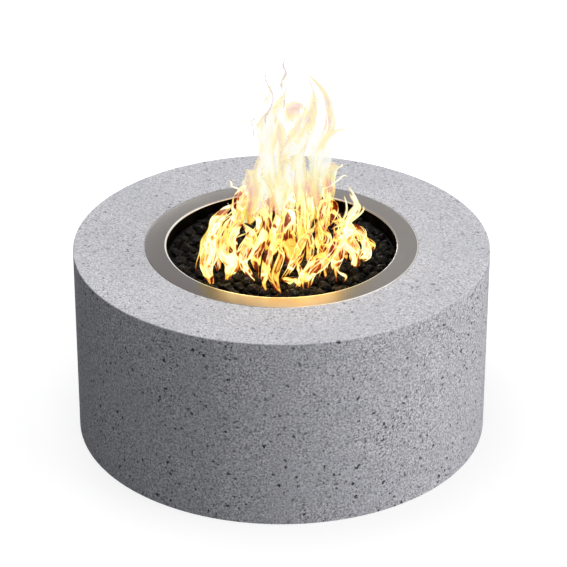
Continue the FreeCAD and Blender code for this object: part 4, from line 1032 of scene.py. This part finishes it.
def add_lobe(work, layers, points, width, seed, strength, kind):
    """A broad strip, pointed at its foot and at its tip."""
    line = wander(smooth_line(points, 26), seed, 0.012)

    def widths(share):
        return width * (0.12 + 0.88 * math.sin(math.pi * min(1, share * 1.1 + 0.06)) ** 0.7)

    def fades(share):
        start = 7 if kind == LOBE else 6
        return strength * min(1.0, share * start + 0.1) * min(1.0, (1 - share) * 3.2)

    add_crossed(work, layers, line, widths, fades, seed, kind)


def add_thread(work, layers, points, width, seed, strength, kind=THREAD):
    """A narrow strip that tapers to nothing at both ends."""
    line = wander(smooth_line(points, 24), seed, 0.014)

    def widths(share):
        swell = 1 + 0.9 * noise.noise(Vector((seed * 1.9, share * 5, 0.5)))
        return width * swell * (0.15 + 0.85 * math.sin(math.pi * share) ** 0.8)

    def fades(share):
        return strength * min(1.0, share * 5 + 0.2) * min(1.0, (1 - share) * 4)

    add_crossed(work, layers, line, widths, fades, seed, kind)


print("strips ready")


# %% Where the tongues stand
# Half width in centimetres, strength, and the points that each one goes through: X Y Z, also in
# centimetres. A tongue is a lobe from the burner up, and the column is torn sheets over them.
TONGUES = [
    (3.2, 1.5, "-17 -19 49, -18.5 -18 53.5, -18 -17 57.5, -17 -15.5 61.5, -14.5 -15 65, "
               "-11 -14.5 66"),
    (3, 1.35, "-20.5 -11.5 50, -18.5 -11 53, -17 -10 57, -16 -9.5 61.5, -13 -9 65, -9.5 -8 67.5"),
    (2.4, 1.3, "-12.5 -15 50, -14.5 -14 54, -15 -13.5 57.5, -13 -12.5 61.5, -11.5 -11.5 65, "
               "-13 -11 67.5"),
    (2.6, 1, "-14.5 -4 50, -13.5 -4 54, -10.5 -3.5 58, -9.5 -3 63, -8 -3 67.5, -6.5 -2.5 72.5"),
    (1.6, 0.9, "-16.5 -14 50, -16 -13.5 54, -17 -13 57.5, -16 -12.5 60"),
    (2.4, 1.3, "-6.5 -19 50, -9 -17.5 53, -9 -16.5 56.5, -7.5 -15 60, -8.5 -14 62.5, -11 -13 65"),
    (1.6, 1, "-10 -14 50, -10.5 -13 53.5, -8 -12 57.5, -6 -11 61, -6 -10 65, -7 -8.5 69.5"),
    (2, 0.9, "-6 -17.5 50, -6.5 -15.5 54.5, -4.5 -13.5 59, -4 -11.5 63, -5 -9.5 67.5, -4.5 -7 72"),
    (1.5, 1, "-3.5 -25 50, -4.5 -22 54.5, -3 -18 58.5, -2 -15 62.5, -1 -12 66, -1.5 -9 70"),
    (1.4, 1, "-1.5 -26 50, -3 -22.5 54, -2 -19 58, 0 -16 62, 0.5 -12.5 65.5, 0 -9 69.5"),
    (1.3, 1, "0 -26 50, -1.5 -23 53.5, -0.5 -20 57, -0.5 -17 60.5, -1 -13.5 64.5"),
    (1.4, 1, "0 -18.5 50, 2.5 -17 53.5, 4.5 -15 57, 4 -13.5 61, 5 -11.5 65, 4.5 -9.5 70"),
    (1.4, 1, "5.5 -24.5 50, 4 -22 54.5, 3 -20.5 57.5, 5 -18.5 61.5, 8 -17 64, 8 -15 67.5"),
    (2.4, 1.35, "6 -23.5 50, 7 -22 53.5, 9.5 -20.5 56, 12 -19.5 58, 13.5 -17.5 61.5, 14 -16 65"),
    (1.3, 0.9, "0 -18 50, 2 -18 49.5, 4 -18 48.5, 5.5 -18 47"),
    (2.4, 1.35, "13.5 -20 50, 13 -18.5 54, 14 -17.5 57.5, 15 -16 61.5, 16.5 -15 64.5, 18.5 -14 67, "
                "17.5 -13.5 70, 16 -12.5 71.5"),
    (1.5, 1, "10.5 -18.5 50, 11 -17.5 53.5, 10 -16.5 57, 11 -15 60.5, 10.5 -14 64.5, 11.5 -13 68"),
    (1.6, 1, "16.5 -9.5 50, 16 -9 54, 17.5 -9 57, 16 -8.5 60.5, 12 -8.5 62, 10 -8 64"),
    (3.6, 1.5, "18.5 -9.5 49, 18 -9.5 53, 17 -9 57, 15.5 -9 61, 14.5 -8.5 64"),
    (2.8, 1.5, "20 -7 49, 21.5 -7 52, 20.5 -6.5 55, 18.5 -6.5 58, 17 -6.5 60"),
    (1.5, 1, "23 -5 50, 22.5 -5 53, 20 -5 55, 17.5 -5 57"),
    (2.6, 1, "1.5 -17.5 50, 2 -15 56, 1.5 -13 61, 2 -11 65, 3 -9 69.5, 2.5 -7 74"),
    (2.2, 1, "7 -14 50, 7 -12.5 55, 6.5 -11 59.5, 7 -9.5 63.5, 6.5 -8 68, 7 -7 72"),
    (2.4, 1, "10.5 -6.5 50, 9.5 -5.5 55.5, 10 -5 60, 10.5 -4.5 64, 11 -4 67, 11.5 -3.5 71"),
    (2.2, 1, "4 -10.5 50, 5 -9.5 55.5, 5.5 -8.5 60, 4.5 -7.5 64, 4 -6.5 68.5, 4.5 -5 74.5"),
    (2.7, 1.4, "-13.5 -18 49.5, -12.5 -17 53, -13.5 -16 56.5, -13 -15 60, -11 -14 63, -9 -13 66"),
    (2.4, 1.2, "-11.5 5 50, -11 5 55, -10.5 4 61, -9 3 65, -7 2 69"),
    (2.4, 1.2, "11.5 12 49, 12.5 10 54.5, 12 7 60.5, 10.5 4 65.5, 8 2 69"),
]
COLUMN = [
    (3, 1, "-8 -10 62.5, -7 -7 66.5, -7 -4 69.5, -8.5 -2 71.5, -10 0 73"),
    (2.8, 1, "-5.5 -10 60.5, -5 -6 67, -5.5 -3 71, -4.5 0 75, -5 2 80"),
    (3, 1.15, "-3.5 -10 60, -3 -5 67.5, -3 -2 73, -3.5 0 78.5, -2 0 85.5, 0.5 0 92, 1.5 0 98"),
    (3.4, 1.1, "-1 -8 60, -0.5 -4 68.5, -1.5 0 73, -0.5 0 79.5, -1.5 0 85, -1 0 91"),
    (3.6, 1, "2 -6 60, 2.5 -3 69, 2.5 0 74, 1.5 0 79.5, 3 0 83, 4.5 0 86"),
    (3.2, 1.1, "5 -6 60, 5 -2 67.5, 4.5 0 73, 6 0 79, 6.5 0 85, 8 0 92, 6 0 99"),
    (3.4, 1.1, "9 -5 60, 8.5 -2 67.5, 9 0 73, 10 0 78.5, 13 0 82, 18 0 83.5"),
    (2.2, 1.1, "7 2 73, 9 2 76.5, 11.5 2 80.5, 12 2 85, 11 2 91, 7.5 2 96, 5.5 2 98"),
    (2.2, 1, "-3 4 71, -4 4 75.5, -4.5 4 80.5, -3.5 4 85.5, 0 4 89.5"),
    (3, 1, "11 2 59.5, 12 2 65.5, 11.5 2 70, 13.5 2 71.5, 15 2 72.5"),
    (2.6, 1, "0 -3 74.5, 3 -3 79, 5 -3 83.5, 7 -3 87.5, 8 -3 93, 9 -3 96"),
    (2.6, 1, "2.5 0 84, 2 0 87, 4.5 0 88, 7 0 88"),
    (1.2, 0.3, "-3 0 84, -3.5 0 90.5, -2 0 95.5, -3.5 0 99"),
    (1.2, 0.3, "0 0 90.5, 0.5 0 95.5, 0.5 0 99, -0.5 0 102"),
    (1, 0.3, "-4 0 82, -6.5 0 85, -8 0 87"),
    (3, 0.9, "-8.5 16 46, -8 13 53, -7 9 61, -5.5 5 68.5"),
    (3, 0.9, "0 20 47.5, 0.5 16 55, 1 10 64, 2 5 72"),
    (3, 0.9, "7.5 18 47.5, 8 15 54.5, 7.5 10 62.5, 6.5 5 70.5"),
]

# Thin hooks that curl away from the rest: half width and line, in centimetres.
HOOKS = [
    (1.1, "13 -14 60.5, 16 -13.5 62.5, 18 -13 66.5, 18 -12.5 70, 16 -12 74"),
    (0.9, "13 -14 61.5, 15.5 -13.5 63, 17.4 -13 66, 17.8 -12.5 69, 17 -12 72"),
    (0.40, "10.5 -6 68, 12.5 -5 70, 15.5 -4 71.5, 17 -4 70.5"),
    (0.35, "-9 -6 68, -12 -5 69.5, -13.5 -4 71"),
    (0.45, "-2 -16 60, -3.5 -18 56, -3.5 -21 52.5, -5 -23.5 50"),
    (0.45, "8 -17 57, 6 -19 54, 4.5 -22 51.5, 2.5 -24 50"),
    (0.50, "12 -17 57, 13 -18 54, 15.5 -18.5 51.5, 16 -19 49.8"),
    (0.50, "-15 -14 59, -16.5 -16 54.5, -18.5 -17.5 51, -18 -19 49.5"),
    (0.40, "-9 -15 58, -9.5 -17 54.5, -7.5 -19 51.5, -7 -20 49.6"),
    (0.40, "17.5 -8 57, 20 -8 54.5, 22 -7.5 52.5, 21.5 -8 50.5"),
]

# Wisps of smoke over the tips: half width and line, in centimetres.
WISPS = [
    (0.55, "-3.5 0 82, -4 0 86, -3 0 89, -2.5 0 93, -4 0 97, -4.5 0 99"),
    (0.55, "0 0 87, 0.5 0 91, 0 0 94.5, 1 0 98, 0 0 101, -0.5 0 104"),
    (0.45, "-6.5 0 80, -7 0 84, -6.5 0 87"),
]
print("lobes", len(TONGUES), "sheets", len(COLUMN), "hooks", len(HOOKS), "wisps", len(WISPS))


# %% The whole fire
SEED_STEP = 1.37  # between one strip's noise and the next one's
SCATTERED_THREADS = 18


def metres(text):
    """The points of a row of the tables, in metres."""
    return [Vector([float(number) for number in point.split()]) / 100
            for point in text.split(",")]


def sideways(room, rng):
    return Vector((rng.uniform(-room, room), rng.uniform(-room, room) * 0.6, 0))


def strand_beside(points, room, rng):
    """Part of the same line, moved sideways by one amount at its foot and another at its tip."""
    first, last = sideways(room, rng), sideways(room, rng)
    thick = rng.choice((0.003, 0.004, 0.005, 0.0065))
    start, end = sorted((rng.uniform(0, 0.35), rng.uniform(0.65, 1.0)))
    line = smooth_line(points, 20)
    line = line[int(start * 20):int(end * 20) + 1]
    moved = []
    for index, here in enumerate(line[::4] + [line[-1]]):
        share = index * 4 / len(line)
        moved.append(here + (first * (1 - share) + last * share))
    return moved, thick


def scattered(rng):
    """The line of a low thread somewhere over the burner, which leans in as it rises."""
    angle = rng.uniform(-math.pi, math.pi)
    foot = Vector((math.cos(angle), math.sin(angle), 0)) * BURNER_R * rng.uniform(0.5, 1.0)
    foot.z = RIM_Z - 0.010
    if foot.y > -0.02 and abs(foot.x) > 0.10:
        return None
    high = rng.uniform(0.05, 0.17)
    lean = rng.uniform(0.15, 0.5)
    turn = Matrix.Rotation(rng.uniform(-0.3, 0.3), 3, "Z")
    middle = turn @ foot * (1 - lean * 0.4)
    end = turn @ turn @ foot * (1 - lean)
    middle.z = foot.z + high * 0.5
    end.z = foot.z + high
    return [foot, middle, end]


def fire():
    """All the strips, as one mesh. Bright lobes and sheets get threads beside them."""
    rng = random.Random(5)
    work = bmesh.new()
    layers = (work.verts.layers.float_vector.new("flow"),
              work.verts.layers.float_vector.new("shape"))
    seed = 1.0
    for kind, table in ((LOBE, TONGUES), (TORN_SHEET, COLUMN)):
        for width, strength, text in table:
            line = metres(text)
            add_lobe(work, layers, line, width / 100, seed, strength, kind)
            seed += SEED_STEP
            if strength < 0.5:
                continue
            for _ in range(int(width) if kind == LOBE else 1):
                thread, thick = strand_beside(line, width / 100, rng)
                add_thread(work, layers, thread, thick, seed, rng.uniform(0.7, 1.1))
                seed += SEED_STEP
    for table, strength, kind in ((HOOKS, 1.25, THREAD), (WISPS, 1.2, WISP)):
        for width, text in table:
            add_thread(work, layers, metres(text), width / 100, seed, strength, kind)
            seed += SEED_STEP
    for _ in range(SCATTERED_THREADS):
        line = scattered(rng)
        if line:
            add_thread(work, layers, line, rng.uniform(0.003, 0.007), seed, 1.0)
            seed += SEED_STEP
    mesh = mesh_of("flame", work)
    mesh.shade_smooth()
    flame = add_piece("flame", mesh, *FLAME_FINISHES)
    print("flame faces:", len(mesh.polygons))


fire()
bpy.context.scene.cycles.transparent_max_bounces = 64
